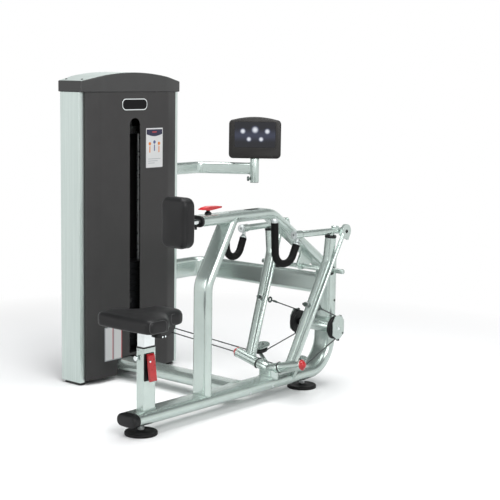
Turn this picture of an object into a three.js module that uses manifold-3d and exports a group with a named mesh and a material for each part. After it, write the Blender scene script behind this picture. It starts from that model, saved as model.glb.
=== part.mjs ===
// Seated row machine with a shrouded weight stack, in millimetres, +Z up.
// The origin is on the floor under the middle of the front foot.
// The user sits facing +X, the weight stack stands at +Y, and left is +Y.
import * as THREE from "three";
import { mergeVertices } from "three/addons/utils/BufferGeometryUtils.js";
import Module from "manifold-3d";

const wasm = await Module();
wasm.setup();

// Fits and fineness
const gap = 0.3;
const overrun = 10;
const weld = 0.001;
const ovalSteps = 3;
const bendSteps = 5;
const rodSides = 10;
const wheelSides = 20;

// Main rail: base, curve and upright in one flat-oval tube
const railWidth = 120;
const railHeight = 60;
const railLift = 80;
const railFront = -60;
const railBend = 170;
const uprightX = 1353;
const uprightTop = 656;
const frontCapLength = 40;
const frontCapRound = 14;

// Feet
const footRadius = 75;
const footHeight = 17;
const footEdge = 4;
const footStemRadius = 14;
const rearFootX = 1166;

// Front post and upper rail
const postWidth = 100;
const postDepth = 50;
const postX = 403;
const postKneeLift = 630;
const postLean = 31;
const postBend = 120;
const upperWidth = 100;
const upperHeight = 50;
const upperWall = 4;
const upperLift = 932;
const upperFront = 372;
const upperKneeX = 865;
const upperSlope = 34.1;
const upperBend = 150;
const upperBoreEnd = 780;

// Cross rail and tower brace
const crossX = 685;
const braceHeight = 110;
const braceDepth = 50;
const braceLift = 520;
const braceBend = 90;

// Stop bar and its gusset
const stopX = 1150;
const stopDrop = 103;
const stopRadius = 12;
const stopReach = 260;
const gussetThickness = 12;
const gussetTip = 50;
const gussetTipRise = 6;
const gussetHalf = 22;
const gussetDrop = 16;
const gussetRear = 105;
const bumperLength = 40;
const bumperMiddle = 170;

// Arm pivot
const pivotX = 896;
const pivotPostWidth = 110;
const pivotPostDepth = 60;
const pivotTubeRadius = 25;
const pivotSeam = 72;
const pivotSeamLift = 163;
const pivotCant = 14.1;
const pivotEnd = 207;
const axleRadius = 15;
const hubCapRadius = 30;
const hubCapDepth = 20;
const hubFloor = 10;
// Each point of the cap's profile is [share of its radius, share of its depth]
const hubCapShares = [
  [0, 0],
  [1, 0],
  [1, 0.4],
  [0.75, 0.8],
  [0.4, 0.97],
  [0, 1],
];

// Arms, given for the left side
const armWidth = 60;
const armDepth = 40;
const armRoot = [908, 130.5, 190];
const armKnee = [1126, 184, 696];
const armTop = [1126, 193, 804];
const armBend = 110;
const bushingRadius = 29;
const bushingHeight = 12;
const bushingCore = 14;

// Handle bars
const barRadius = 16;
const barFront = [862, 167, 838];
const barRear = [1200, 200, 834];
const collarRadius = 19.5;
const collarLength = 45;
const spindleRadius = 12;
const barDiscRadius = 20;
const barDiscLength = 6;
const plugLength = 16;
const bossRadius = 19;
const bossHeight = 25;

// Link rods and clevis plates. On each arm they are on the side away from the weight tower.
const linkRadius = 10;
const linkFootX = 876;
const linkFootLift = 215;
const linkTopX = 1172;
const linkTopLift = 822;
const linkFootOuter = 187;
const linkTopOuter = 238;
const linkFootInner = 84;
const linkTopInner = 155;
const clevisRadius = 36;
const clevisReach = 36;
const clevisRise = 9;
const clevisThickness = 15;
const innerClevisThickness = 22;
const clevisTail = 34;

// Grips
const gripRadius = 18;
const gripNeckRadius = 9;
const gripFrontX = 731;
const gripRise = 88;
const gripDrop = 134;
const gripInnerX = 742;
const gripOuterX = 842;
const gripHangX = 884;
const gripHangDrop = 46;
const gripBend = 61;
const gripSteps = 6;

// Cable links
const linkBoltRadius = 6;
const linkBoltFront = [985, 148, 480];
const linkBoltRear = [1078, 157, 453];
const eyeRadius = 12;
const eyeWire = 4.5;
const eyeSides = 8;
const nutSides = 6;
const nutRadius = 11;
const nutHeight = 9;

// Rear pulleys and low pulleys
const rearPulleyReach = 69;
const rearPulleyX = uprightX - rearPulleyReach;
const rearPulleyY = 121;
const rearPulleyLift = 314;
const rearPulleyRadius = 59;
const rearPulleyWidth = 26;
const pulleyGroove = 7;
const crossTubeRadius = 30;
const pulleyBoltRadius = 8;
const coverHeight = 133;
const coverWidth = 95;
const coverThickness = 5;
const coverLowShare = 0.25;
const rimShare = 0.85;
const floorShare = 0.3;
const saddleHeight = 44;
const saddleWidth = 80;
const crossTubeReach = 92;
const pulleyAir = 2;
const lowPulleyRadius = 44;
const lowPulleyWidth = 16;
const lowLeftCorner = [968, 118, 192];
const lowRightCorner = [985, -118, 136];
const bracketThickness = 5;
const bracketStrut = 10;
const lowCoverRadius = 36;
const lowCoverReach = 32;
const lowHubRadius = 18;

// Cables
const cableRadius = 3;
const cableAir = 1.2;
const cableSides = 6;
const cableSteps = 3;
const wrapSteps = 8;
const leftCableLift = 249;
const rightCableLift = 223;
const cableTurn = 20;
const cableRiseX = 1012;
const exitWidth = 40;
const exitHeight = 84;

// Seat
const seatPostDepth = 80;
const seatPostWidth = 50;
const seatPostRound = 10;
const seatPostWall = 3;
const seatPostX = 30;
const seatPostTop = 400;
const seatStemBottom = 180;
const seatStemWall = 4;
const leverPlateWidth = 60;
const leverPlateThickness = 4;
const seatUnderside = 490;
const seatThickness = 65;
const seatFrontX = -115;
const seatShoulderX = 5;
const seatNoseX = 210;
const seatNoseRootX = 93;
const noseRound = 68;
const seatEdge = 20;
const cushionSteps = 5;
const seatHalfWidth = 170;
const noseHalfWidth = 96;
const seatCorner = 42;
const seatInnerCorner = 30;
const seatCrown = 6;
const seatPlateThickness = 6;
const seatPlateFront = -60;
const seatPlateRear = 165;
const seatPlateHalfWidth = 55;
const seatWebHeight = 52;
const seatWebThickness = 100;
const seatWebFront = 74;
const seatWebRear = 112;
const seatLeverHeight = 125;
const seatLeverWidth = 40;
const seatLeverThickness = 14;
const seatLeverTop = 372;
const seatLeverKick = 16;
const seatLeverX = 22;

// Chest pad
const padFrontX = 190;
const padThickness = 72;
const padHalfWidth = 80;
const padBottom = 818;
const padTop = 1052;
const padCorner = 34;
const padCrown = 6;
const padEdge = 18;
const padPlateThickness = 6;
const padPlateInset = 18;
const padStemWidth = 74;
const padStemHeight = 26;
const padStemEnd = 640;
const padCollarLength = 30;
const padCollarPlug = 60;
const collarLip = 1.5;
const stemClearance = 0.5;
const padLeverX = 380;
const padLeverLength = 128;
const padLeverWidth = 34;
const padLeverThickness = 15;
const padLeverLift = 976;
const padLeverStem = 9;
const padLeverStemX = 432;

// Weight tower
const towerFrontX = 390;
const towerRearX = 1101;
const towerNearY = 835.5;
const towerFarY = 976.5;
const towerBottom = 15;
const towerTop = 1500;
const panelWall = 4;
const panelFlange = 30;
const panelWidthCut = 60;
const shroudWall = 4;
const shroudFace = 800;
const shroudReturn = 15;
const shroudFacet = 80;
const shroudBottom = 25;
const slotWidth = 76;
const slotBottom = 128;
const slotTop = 1367;
const notchClearance = 6;
const capSide = 55;
const capCrown = 100;
const capWall = 6;
const capSteps = 7;
const baseThickness = 10;
const baseLegWidth = 50;
const baseInset = 8;
const towerFootHeight = 15;
const towerFootRadius = 22;

// Weight stack
const plateLength = 360;
const plateDepth = 100;
const platePitch = 30;
const plateGroove = 2.5;
const plateNeck = 5;
const restingPlateCount = 8;
const liftedPlateCount = 6;
const stackBottom = 148;
const stackSeatHalf = 22;
const guideRadius = 10;
const guideSpread = 130;
const guideClearance = 1;
const tieHeight = 40;
const tieDepth = 44;
const tieDrop = 80;
const tieHoleRadius = 9;
const selectorRadius = 12.5;
const topPlateThickness = 34;
const selectorNose = 30;
const pinRadius = 5;
const pinLength = 62;
const pinKnobRadius = 13;
const pinKnobLength = 20;
const topPulleyRadius = 52;
const topPulleyWidth = 22;
const topPulleyDrop = 100;
const topPulleyLift = towerTop - topPulleyDrop;
const topPulleyBolt = 8;
const hangerHalf = 14;
const hangerThickness = 5;
const floatPulleyRadius = 46;
const floatPulleyLift = 880;
const floatCheek = 5;
const floatStrap = 15;

// Console
const boomHeight = 65;
const boomThickness = 32;
const boomLift = 1078;
const boomStubY = 890;
const boomCornerX = 1330;
const boomBend = 60;
const mastX = 1498;
const mastY = 620;
const mastRadius = 25;
const mastBottom = 1000;
const consoleWidth = 289;
const consoleHeight = 230;
const consoleDepth = 40;
const consoleArch = 16;
const consoleCorner = 24;
const consoleRound = 7;
const consoleBottom = 1135;
const consoleTurn = 220.5;
const screenWidth = 226;
const screenHeight = 140;
const screenDepth = 3;
const screenAbove = 62;
const screenCorner = 6;

// Looks
const look = (color, roughness, metalness) => new THREE.MeshStandardMaterial({ color, roughness, metalness });
const silver = look(0xc4cfcb, 0.35, 0.6);
const aluminium = look(0xb9c4c0, 0.4, 0.8);
const steel = look(0xb0b4b6, 0.3, 0.9);
const chrome = look(0xdfe3e6, 0.12, 1);
const blackPaint = look(0x232323, 0.5, 0.3);
const rubber = look(0x1b1b1b, 0.85, 0);
const nylon = look(0x2b2c2e, 0.55, 0);
const upholstery = look(0x2a2a2b, 0.7, 0);
const redPlastic = look(0xc8323a, 0.4, 0);
const shroudGrey = look(0x3f3d3d, 0.6, 0.1);
const capGrey = look(0x55585a, 0.5, 0.1);
const plateSteel = look(0x2c2d2f, 0.5, 0.6);
const cableBlack = look(0x202122, 0.5, 0.1);
const glass = look(0x10131c, 0.08, 0);

const root = new THREE.Group();
const leftSide = new THREE.Group();
const rightSide = new THREE.Group();
rightSide.scale.y = -1;
root.add(leftSide, rightSide);

const point = (x, y, z) => new THREE.Vector3(x, y, z);
const at = (place) => new THREE.Vector3(...place);
const degrees = THREE.MathUtils.degToRad;
const along = (a, b, share) => a.clone().lerp(b, share);
const X = point(1, 0, 0);
const Y = point(0, 1, 0);
const Z = point(0, 0, 1);

// A closed solid from a geometry: vertices are welded, and triangles that shrink to a line are left out.
function solid(geometry) {
  const bare = geometry.clone();
  bare.deleteAttribute("normal");
  bare.deleteAttribute("uv");
  const welded = mergeVertices(bare, weld);
  const kept = [];
  const index = welded.index.array;
  for (let i = 0; i < index.length; i += 3) {
    const [a, b, c] = index.slice(i, i + 3);
    if (a !== b && b !== c && c !== a) kept.push(a, b, c);
  }
  return new wasm.Manifold(
    new wasm.Mesh({
      numProp: 3,
      vertProperties: welded.attributes.position.array,
      triVerts: new Uint32Array(kept),
    }),
  );
}

function geometryOf(body) {
  const { vertProperties, triVerts } = body.getMesh();
  const geometry = new THREE.BufferGeometry();
  geometry.setAttribute("position", new THREE.BufferAttribute(vertProperties, 3));
  geometry.setIndex(new THREE.BufferAttribute(triVerts, 1));
  geometry.computeVertexNormals();
  return geometry;
}

function place(name, body, material, parent = root) {
  const mesh = new THREE.Mesh(geometryOf(body), material);
  mesh.name = name;
  parent.add(mesh);
}

// The same piece on both sides of the machine
function placePair(name, body, material) {
  place(name + "_left", body, material, leftSide);
  place(name + "_right", body, material, rightSide);
}

const join = (first, ...others) => others.reduce((whole, body) => whole.add(body), first);
const cut = (first, ...others) => others.reduce((whole, body) => whole.subtract(body), first);

// A flat-oval outline, its ends half circles; across is measured along the route's side
function oval(thickness, across, grow = 0) {
  const shape = new THREE.Shape();
  const half = Math.min(thickness, across) / 2;
  const reach = Math.abs(across - thickness) / 2;
  const upright = across > thickness;
  const [cx, cy] = upright ? [0, reach] : [reach, 0];
  const turn = upright ? 0 : -Math.PI / 2;
  shape.absarc(cx, cy, half + grow, turn, turn + Math.PI, false);
  shape.absarc(-cx, -cy, half + grow, turn + Math.PI, turn + 2 * Math.PI, false);
  shape.closePath();
  return shape;
}

function roundedRectangle(width, height, radius, grow = 0) {
  const shape = new THREE.Shape();
  const x = width / 2 - radius;
  const y = height / 2 - radius;
  const r = radius + grow;
  const quarter = Math.PI / 2;
  shape.absarc(x, y, r, 0, quarter, false);
  shape.absarc(-x, y, r, quarter, 2 * quarter, false);
  shape.absarc(-x, -y, r, 2 * quarter, 3 * quarter, false);
  shape.absarc(x, -y, r, 3 * quarter, 4 * quarter, false);
  shape.closePath();
  return shape;
}

function polygon(points) {
  return new THREE.Shape(points.map(([x, y]) => new THREE.Vector2(x, y)));
}

// A route of straight runs and arcs. The section keeps its own side as it goes.
class Route extends THREE.Curve {
  constructor(side) {
    super();
    this.side = side;
    this.points = [];
    this.tangents = [];
    this.bends = [];
  }

  add(place, tangent) {
    this.points.push(place);
    this.tangents.push(tangent);
    return this;
  }

  addArc(centre, axis, start, tangent, turn, steps) {
    this.bends.push({ centre, axis });
    for (let i = 0; i <= steps; i++) {
      const angle = (turn * i) / steps;
      const arm = start.clone().sub(centre).applyAxisAngle(axis, angle);
      this.add(centre.clone().add(arm), tangent.clone().applyAxisAngle(axis, angle));
    }
    return this;
  }

  // Straight runs between corners, with an arc of the given radius at each inner corner
  addRuns(corners, radius, steps = bendSteps) {
    const heading = (i) => corners[i + 1].clone().sub(corners[i]).normalize();
    this.add(corners[0], heading(0));
    for (let i = 1; i < corners.length - 1; i++) {
      const before = heading(i - 1);
      const turn = before.angleTo(heading(i));
      const axis = before.clone().cross(heading(i)).normalize();
      const start = corners[i].clone().addScaledVector(before, -radius * Math.tan(turn / 2));
      const centre = start.clone().addScaledVector(axis.clone().cross(before), radius);
      this.addArc(centre, axis, start, before, turn, steps);
    }
    return this.add(corners[corners.length - 1], heading(corners.length - 2));
  }

  getSpacedPoints() {
    return this.points;
  }

  computeFrenetFrames() {
    let side = this.side.clone();
    const binormals = this.tangents.map((t) => {
      side = side.clone().addScaledVector(t, -side.dot(t)).normalize();
      return side;
    });
    const normals = this.tangents.map((t, i) => binormals[i].clone().cross(t));
    return { tangents: this.tangents, normals, binormals };
  }
}

const bent = (corners, radius, side, steps) => new Route(side).addRuns(corners, radius, steps);

function sweep(shape, route, curveSegments = ovalSteps) {
  const steps = route.points.length - 1;
  return solid(new THREE.ExtrudeGeometry(shape, { steps, curveSegments, extrudePath: route }));
}

function box(x0, x1, y0, y1, z0, z1) {
  const geometry = new THREE.BoxGeometry(x1 - x0, y1 - y0, z1 - z0);
  return solid(geometry.translate((x0 + x1) / 2, (y0 + y1) / 2, (z0 + z1) / 2));
}

// Turns a geometry made along +Y so that it stands at a place and points along a direction
function aim(geometry, from, direction) {
  const turn = new THREE.Quaternion().setFromUnitVectors(Y, direction.clone().normalize());
  return geometry.applyQuaternion(turn).translate(from.x, from.y, from.z);
}

function rod(from, to, radius, sides = rodSides) {
  const length = from.distanceTo(to);
  const geometry = new THREE.CylinderGeometry(radius, radius, length, sides);
  return solid(aim(geometry.translate(0, length / 2, 0), from, to.clone().sub(from)));
}

// The radius of a many-sided bore whose flats keep the gap round a pin that turns in it
const boreFor = (radius, sides = rodSides) => (radius + gap) / Math.cos(Math.PI / sides);

// A turned piece: its profile lists [radius, distance along the axis]
function turned(profile, from, direction, sides = wheelSides) {
  const geometry = new THREE.LatheGeometry(
    profile.map(([r, d]) => new THREE.Vector2(r, d)),
    sides,
  );
  return solid(aim(geometry, from, direction));
}

// A flat plate: its outline lies along two directions from a corner and it is thick along their cross product
function plate(shape, thickness, corner, right, up, curveSegments = ovalSteps, bevel = 0) {
  const geometry = new THREE.ExtrudeGeometry(shape, {
    depth: thickness - 2 * bevel,
    curveSegments,
    bevelEnabled: bevel > 0,
    bevelThickness: bevel,
    bevelSize: bevel,
    bevelOffset: -bevel,
    bevelSegments: 3,
  });
  geometry.translate(0, 0, bevel);
  const frame = new THREE.Matrix4().makeBasis(right, up, right.clone().cross(up));
  return solid(geometry.applyMatrix4(frame.setPosition(corner)));
}

// A grooved pulley with its bore, centred on a place
function pulley(centre, axis, radius, width, bore) {
  const half = width / 2;
  const floor = radius - pulleyGroove;
  const profile = [
    [bore, -half],
    [radius, -half],
    [radius, -half * rimShare],
    [floor, -half * floorShare],
    [floor, half * floorShare],
    [radius, half * rimShare],
    [radius, half],
    [bore, half],
    [bore, -half],
  ];
  return turned(profile, centre, axis);
}

const circle = (radius) => new THREE.Shape().absarc(0, 0, radius, 0, 2 * Math.PI, false);

// An outline with each corner rounded by its own radius
function roundedOutline(corners, steps) {
  const outline = [];
  corners.forEach(([x, y, radius], i) => {
    const corner = new THREE.Vector2(x, y);
    const [px, py] = corners[(i + corners.length - 1) % corners.length];
    const [nx, ny] = corners[(i + 1) % corners.length];
    const before = corner.clone().sub(new THREE.Vector2(px, py)).normalize();
    const after = new THREE.Vector2(nx, ny).sub(corner).normalize();
    const turn = Math.atan2(before.cross(after), before.dot(after));
    const start = corner.clone().addScaledVector(before, -radius * Math.tan(Math.abs(turn) / 2));
    const inward = new THREE.Vector2(-before.y, before.x).multiplyScalar(Math.sign(turn));
    const centre = start.clone().addScaledVector(inward, radius);
    for (let k = 0; k <= steps; k++) outline.push(start.clone().rotateAround(centre, (turn * k) / steps));
  });
  return outline;
}

// A cushion: rings of its outline, drawn in at the base, fullest below the middle, rounded over to a crown.
// Each ring is [share of the edge radius drawn in, share of the thickness, share of the crown].
const cushionShares = [
  [0.45, 0, 0],
  [0.12, 0.08, 0],
  [0, 0.3, 0],
  [0, 0.55, 0],
  [0.1, 0.75, 0],
  [0.35, 0.9, 0],
  [0.75, 0.98, 0.1],
  [1.2, 1, 0.45],
  [1.8, 1, 1],
];

function cushion(outline, edge, thickness, crown, corner, right, up) {
  const count = outline.length;
  const inward = outline.map((p, i) => {
    const before = p.clone().sub(outline[(i + count - 1) % count]).normalize();
    const after = outline[(i + 1) % count].clone().sub(p).normalize();
    const middle = before.add(after).normalize();
    const miter = 1 / Math.abs(middle.dot(after));
    return new THREE.Vector2(-middle.y, middle.x).multiplyScalar(miter);
  });
  const positions = [];
  const index = [];
  cushionShares.forEach(([inset, rise, swell]) =>
    outline.forEach((p, i) => {
      const q = p.clone().addScaledVector(inward[i], inset * edge);
      positions.push(q.x, q.y, rise * (thickness - crown) + swell * crown);
    }),
  );
  const rings = cushionShares.length;
  for (let k = 0; k < rings - 1; k++)
    for (let i = 0; i < count; i++) {
      const [a, b] = [k * count + i, k * count + ((i + 1) % count)];
      index.push(a, b, b + count, a, b + count, a + count);
    }
  for (const [ring, upward] of [[0, false], [rings - 1, true]]) {
    const rim = outline.map((p, i) => {
      const first = 3 * (ring * count + i);
      return new THREE.Vector2(positions[first], positions[first + 1]);
    });
    for (const [a, b, c] of THREE.ShapeUtils.triangulateShape(rim, [])) {
      const counter = rim[b].clone().sub(rim[a]).cross(rim[c].clone().sub(rim[a])) > 0;
      const order = counter === upward ? [a, b, c] : [a, c, b];
      index.push(...order.map((i) => ring * count + i));
    }
  }
  const geometry = new THREE.BufferGeometry();
  geometry.setAttribute("position", new THREE.Float32BufferAttribute(positions, 3));
  geometry.setIndex(index);
  const frame = new THREE.Matrix4().makeBasis(right, up, right.clone().cross(up));
  return solid(geometry.applyMatrix4(frame.setPosition(corner)));
}

// Main rail, its front cap and the feet
const railRoute = bent(
  [point(railFront, 0, railLift), point(uprightX, 0, railLift), point(uprightX, 0, uprightTop)],
  railBend,
  Y,
);
const mainRail = sweep(oval(railHeight, railWidth), railRoute);
const aroundRail = sweep(oval(railHeight, railWidth, gap), railRoute);

const capBack = railFront - gap;
const capBlank = plate(
  oval(railHeight, railWidth),
  frontCapLength + frontCapRound,
  point(capBack + frontCapRound, 0, railLift),
  Z,
  Y,
  ovalSteps,
  frontCapRound,
);
const capTrim = box(capBack, capBack + railWidth, -railWidth, railWidth, 0, railLift + railHeight);
place("rail_front_cap", cut(capBlank, capTrim), nylon);

function foot(x) {
  const stemTop = railLift - railHeight / 2 - gap;
  const profile = [
    [0, 0],
    [footRadius - footEdge, 0],
    [footRadius, footEdge],
    [footRadius, footHeight - footEdge],
    [footRadius - footEdge, footHeight],
    [footStemRadius, footHeight],
    [footStemRadius, stemTop],
    [0, stemTop],
  ];
  return turned(profile, point(x, 0, 0), Z);
}
place("foot_front", foot(0), rubber);
place("foot_rear", foot(rearFootX), rubber);

// Upper rail: level, then sloping down to the upright, bored for the pad stem
const slope = Math.tan(degrees(upperSlope));
const upperCentre = (x) => upperLift - Math.max(0, x - upperKneeX) * slope;
const upperRoute = bent(
  [
    point(upperFront, 0, upperLift),
    point(upperKneeX, 0, upperLift),
    point(uprightX, 0, upperCentre(uprightX)),
  ],
  upperBend,
  Y,
);
const aroundUpper = sweep(oval(upperHeight, upperWidth, gap), upperRoute);
const upperInside = [upperHeight - 2 * upperWall, upperWidth - 2 * upperWall];
const upperBore = sweep(
  oval(...upperInside),
  bent([point(upperFront - overrun, 0, upperLift), point(upperBoreEnd, 0, upperLift)], 0, Y),
);
place("upper_rail", cut(sweep(oval(upperHeight, upperWidth), upperRoute), aroundRail, upperBore), silver);

// Front post
const postTopX = postX + (upperLift - postKneeLift) * Math.tan(degrees(postLean));
const postRoute = bent(
  [point(postX, 0, railLift), point(postX, 0, postKneeLift), point(postTopX, 0, upperLift)],
  postBend,
  Y,
);
place("front_post", cut(sweep(oval(postDepth, postWidth), postRoute), aroundRail, aroundUpper), silver);

// Cross rail to the tower
const crossEnd = towerFarY - panelWall - gap;
const crossRoute = bent([point(crossX, 0, railLift), point(crossX, crossEnd, railLift)], 0, X);
place("cross_rail", cut(sweep(oval(railHeight, railWidth), crossRoute), aroundRail), silver);

// Tower brace, from the tower round to the upright
const braceRoute = bent(
  [
    point(towerRearX + gap, boomStubY, braceLift),
    point(uprightX, boomStubY, braceLift),
    point(uprightX, 0, braceLift),
  ],
  braceBend,
  Z,
);
place("tower_brace", cut(sweep(oval(braceDepth, braceHeight), braceRoute), aroundRail), silver);

// Stop bar under the sloping rail, with its gusset
const stopLift = upperCentre(stopX) - stopDrop;
const stopFront = stopX - gussetTip;
const stopRear = stopX + gussetRear;
const gusset = plate(
  polygon([
    [stopFront, stopLift + gussetTipRise],
    [stopX - gussetHalf, stopLift - gussetDrop],
    [stopX + gussetHalf, stopLift - gussetDrop],
    [stopRear, upperCentre(stopRear)],
    [stopX, upperCentre(stopX)],
  ]),
  gussetThickness,
  point(0, gussetThickness / 2, 0),
  X,
  Z,
);
const stopBar = rod(point(stopX, -stopReach, stopLift), point(stopX, stopReach, stopLift), stopRadius);
place("stop_bar", cut(join(gusset, stopBar), aroundUpper), silver);

// Rubber sleeves on the stop bar, as thick as the arm's rest position needs
const armRun = at(armKnee).sub(at(armRoot));
const stopFromRoot = point(stopX, 0, stopLift).sub(at(armRoot));
const stopFromArm = (stopFromRoot.x * armRun.z - stopFromRoot.z * armRun.x) / Math.hypot(armRun.x, armRun.z);
const bumperRadius = stopFromArm - armDepth / 2 - 2 * gap;
const bumperInner = bumperMiddle - bumperLength / 2;
const bumper = turned(
  [
    [stopRadius + gap, 0],
    [bumperRadius, 0],
    [bumperRadius, bumperLength],
    [stopRadius + gap, bumperLength],
    [stopRadius + gap, 0],
  ],
  point(stopX, bumperInner, stopLift),
  Y,
  rodSides,
);
placePair("stop_bumper", bumper, rubber);

// Pivot post with its canted stub axles
const cant = Math.tan(degrees(pivotCant));
const pivotAt = (y) => point(pivotX, y, pivotSeamLift + (Math.abs(y) - pivotSeam) * cant);
const pivotColumn = sweep(
  oval(pivotPostDepth, pivotPostWidth),
  bent([point(pivotX, 0, railLift), pivotAt(0)], 0, Y),
);
const axleEnd = pivotEnd - hubFloor - overrun;
const pivotParts = [-1, 1].flatMap((side) => [
  rod(pivotAt(0), pivotAt(side * pivotSeam), pivotTubeRadius, wheelSides),
  rod(pivotAt(0), pivotAt(side * axleEnd), axleRadius),
]);
place("pivot_post", cut(join(pivotColumn, ...pivotParts), aroundRail), silver);

// Arms: hub sleeve and flat-oval tube in one weldment
const hubAxis = pivotAt(pivotEnd).sub(pivotAt(pivotSeam)).normalize();
const hubStart = pivotAt(pivotSeam).addScaledVector(hubAxis, gap);
const hubBore = rod(pivotAt(0), pivotAt(pivotEnd - hubFloor), boreFor(axleRadius));
const armRoute = bent([at(armRoot), at(armKnee), at(armTop)], armBend, Y);
const armTube = sweep(oval(armDepth, armWidth), armRoute);
const hubSleeve = rod(hubStart, pivotAt(pivotEnd), pivotTubeRadius, wheelSides);
const boltHole = rod(at(linkBoltFront), at(linkBoltRear), linkBoltRadius + gap);
const pivotClear = rod(pivotAt(0), hubStart, pivotTubeRadius + overrun);
placePair("arm", cut(join(armTube, hubSleeve), hubBore, boltHole, pivotClear), silver);

const capProfile = hubCapShares.map(([across, deep]) => [hubCapRadius * across, hubCapDepth * deep]);
const redCapFoot = pivotAt(pivotEnd).addScaledVector(hubAxis, gap);
placePair("hub_cap", turned(capProfile, redCapFoot, hubAxis), redPlastic);

// Handle bars
const barAxis = at(barRear).sub(at(barFront)).normalize();
const barAt = (x) => at(barFront).addScaledVector(barAxis, (x - barFront[0]) / barAxis.x);
const collarFront = barAt(barFront[0] + barDiscLength + gap);
const collarRear = collarFront.clone().addScaledVector(barAxis, collarLength);
const barStart = collarRear.clone().addScaledVector(barAxis, gap);
const bossFoot = barAt(armTop[0] + bossRadius + bushingHeight);
const armEnd = at(armTop).sub(at(armKnee)).normalize();
const bushingFoot = at(armTop).addScaledVector(armEnd, gap);
const bushingTop = bushingFoot.clone().addScaledVector(armEnd, bushingHeight);
const handleBar = join(
  rod(barAt(barFront[0]), barAt(barFront[0] + barDiscLength), barDiscRadius, wheelSides),
  rod(barAt(barFront[0]), barStart, spindleRadius),
  rod(barStart, barAt(barRear[0]), barRadius, wheelSides),
  rod(barAt(barRear[0]), barAt(barRear[0] + plugLength), barRadius - 2 * gap),
  rod(bossFoot, bossFoot.clone().add(point(0, 0, bossHeight)), bossRadius),
  rod(bushingFoot, bushingTop, bushingRadius, wheelSides),
  rod(along(bushingFoot, bushingTop, 0.5), barAt(armTop[0]), bushingCore),
);
placePair("handle_bar", handleBar, silver);

// Link rods with their clevis plates
const linkUp = point(linkTopX - linkFootX, 0, linkTopLift - linkFootLift).normalize();
const linkAcross = point(linkUp.z, 0, -linkUp.x);
const clevisOff = barRadius + 4 * gap;
const barNear = barAt(linkTopX + clevisReach - clevisRadius).y;
const clevisShape = new THREE.Shape();
clevisShape.absarc(0, 0, clevisRadius, 0, Math.PI, false);
clevisShape.lineTo(-clevisRadius, -clevisTail);
clevisShape.lineTo(clevisTail, -clevisTail);
const clevisAt = (y) => point(linkTopX + clevisReach, y, linkTopLift + clevisRise);
const clevis = (thickness, y) => plate(clevisShape, thickness, clevisAt(y), linkAcross, linkUp);
const aroundHub = (side) => rod(pivotAt(0), pivotAt(side * pivotEnd), pivotTubeRadius + gap, wheelSides);
function linkRod(footY, topY, ...clevisSize) {
  const bar = rod(point(linkFootX, footY, linkFootLift), point(linkTopX, topY, linkTopLift), linkRadius);
  return cut(join(bar, clevis(...clevisSize)), aroundHub(Math.sign(footY)));
}
const innerClevis = [innerClevisThickness, barNear - clevisOff];
const outerClevis = [clevisThickness, -barRear[1] - clevisOff];
place("link_rod_left", linkRod(linkFootInner, linkTopInner, ...innerClevis), silver);
place("link_rod_right", linkRod(-linkFootOuter, -linkTopOuter, ...outerClevis), silver);

// Grips: a swivelling collar on the bar's front end and a U-shaped sleeve hung from it
const gripPlace = (x, z) => point(x, barAt(x).y, z);
const gripCorners = [
  gripPlace(gripFrontX, barFront[2] + gripRise),
  gripPlace(gripInnerX, barFront[2] - gripDrop),
  gripPlace(gripOuterX, barFront[2] - gripDrop),
  gripPlace(gripHangX, barFront[2] - gripHangDrop),
];
const gripSide = barAxis.clone().cross(Z).normalize();
const collarMiddle = along(collarFront, collarRear, 0.5);
const grip = join(
  sweep(circle(gripRadius), bent(gripCorners, gripBend, gripSide), gripSteps),
  rod(gripCorners[3], collarMiddle, gripNeckRadius),
  rod(collarFront, collarRear, collarRadius, wheelSides),
);
const spindleHole = rod(barAt(barFront[0]), barStart, boreFor(spindleRadius));
placePair("grip", cut(grip, spindleHole), rubber);

// Cable links: an eyebolt through each arm
const linkBoltRun = at(linkBoltRear).sub(at(linkBoltFront)).normalize();
const eyeCentre = at(linkBoltRear).addScaledVector(linkBoltRun, eyeRadius);
const eye = new THREE.TorusGeometry(eyeRadius, eyeWire, eyeSides, rodSides);
eye.rotateX(Math.PI / 2).translate(eyeCentre.x, eyeCentre.y, eyeCentre.z);
const nutFoot = at(linkBoltFront).addScaledVector(linkBoltRun, nutHeight);
const cableLink = join(
  rod(at(linkBoltFront), at(linkBoltRear), linkBoltRadius),
  rod(at(linkBoltFront), nutFoot, nutRadius, nutSides),
  solid(eye),
);
placePair("cable_link", cableLink, steel);

// Rear pulleys, their cross tube and outer cover plates
const rearCentre = point(rearPulleyX, rearPulleyY, rearPulleyLift);
const coverInside = rearPulleyY + rearPulleyWidth / 2 + pulleyAir;
const coverOutline = polygon([
  [0, -coverHeight / 2],
  [coverWidth / 2, -coverHeight * coverLowShare],
  [coverWidth / 2, coverHeight * coverLowShare],
  [coverWidth / 4, coverHeight / 2],
  [-coverWidth / 4, coverHeight / 2],
  [-coverWidth / 2, coverHeight * coverLowShare],
  [-coverWidth / 2, -coverHeight * coverLowShare],
]);
const cover = (y) => plate(coverOutline, coverThickness, point(rearPulleyX, y, rearPulleyLift), X, Z);
const coverOutside = coverInside + coverThickness;
const uprightFace = uprightX - railHeight / 2 - gap;
const saddle = box(
  rearPulleyX,
  uprightFace,
  -saddleWidth / 2,
  saddleWidth / 2,
  rearPulleyLift - saddleHeight / 2,
  rearPulleyLift + saddleHeight / 2,
);
const onShaft = (y) => point(rearPulleyX, y, rearPulleyLift);
const pulleyShaft = join(
  rod(onShaft(-crossTubeReach), onShaft(crossTubeReach), crossTubeRadius, wheelSides),
  saddle,
  rod(onShaft(-coverOutside), onShaft(coverOutside), pulleyBoltRadius),
  cover(coverOutside),
  cover(-coverInside),
);
place("pulley_shaft", cut(pulleyShaft, aroundRail), silver);
const rearPulley = pulley(rearCentre, Y, rearPulleyRadius, rearPulleyWidth, pulleyBoltRadius + gap);
placePair("rear_pulley", rearPulley, nylon);

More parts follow.
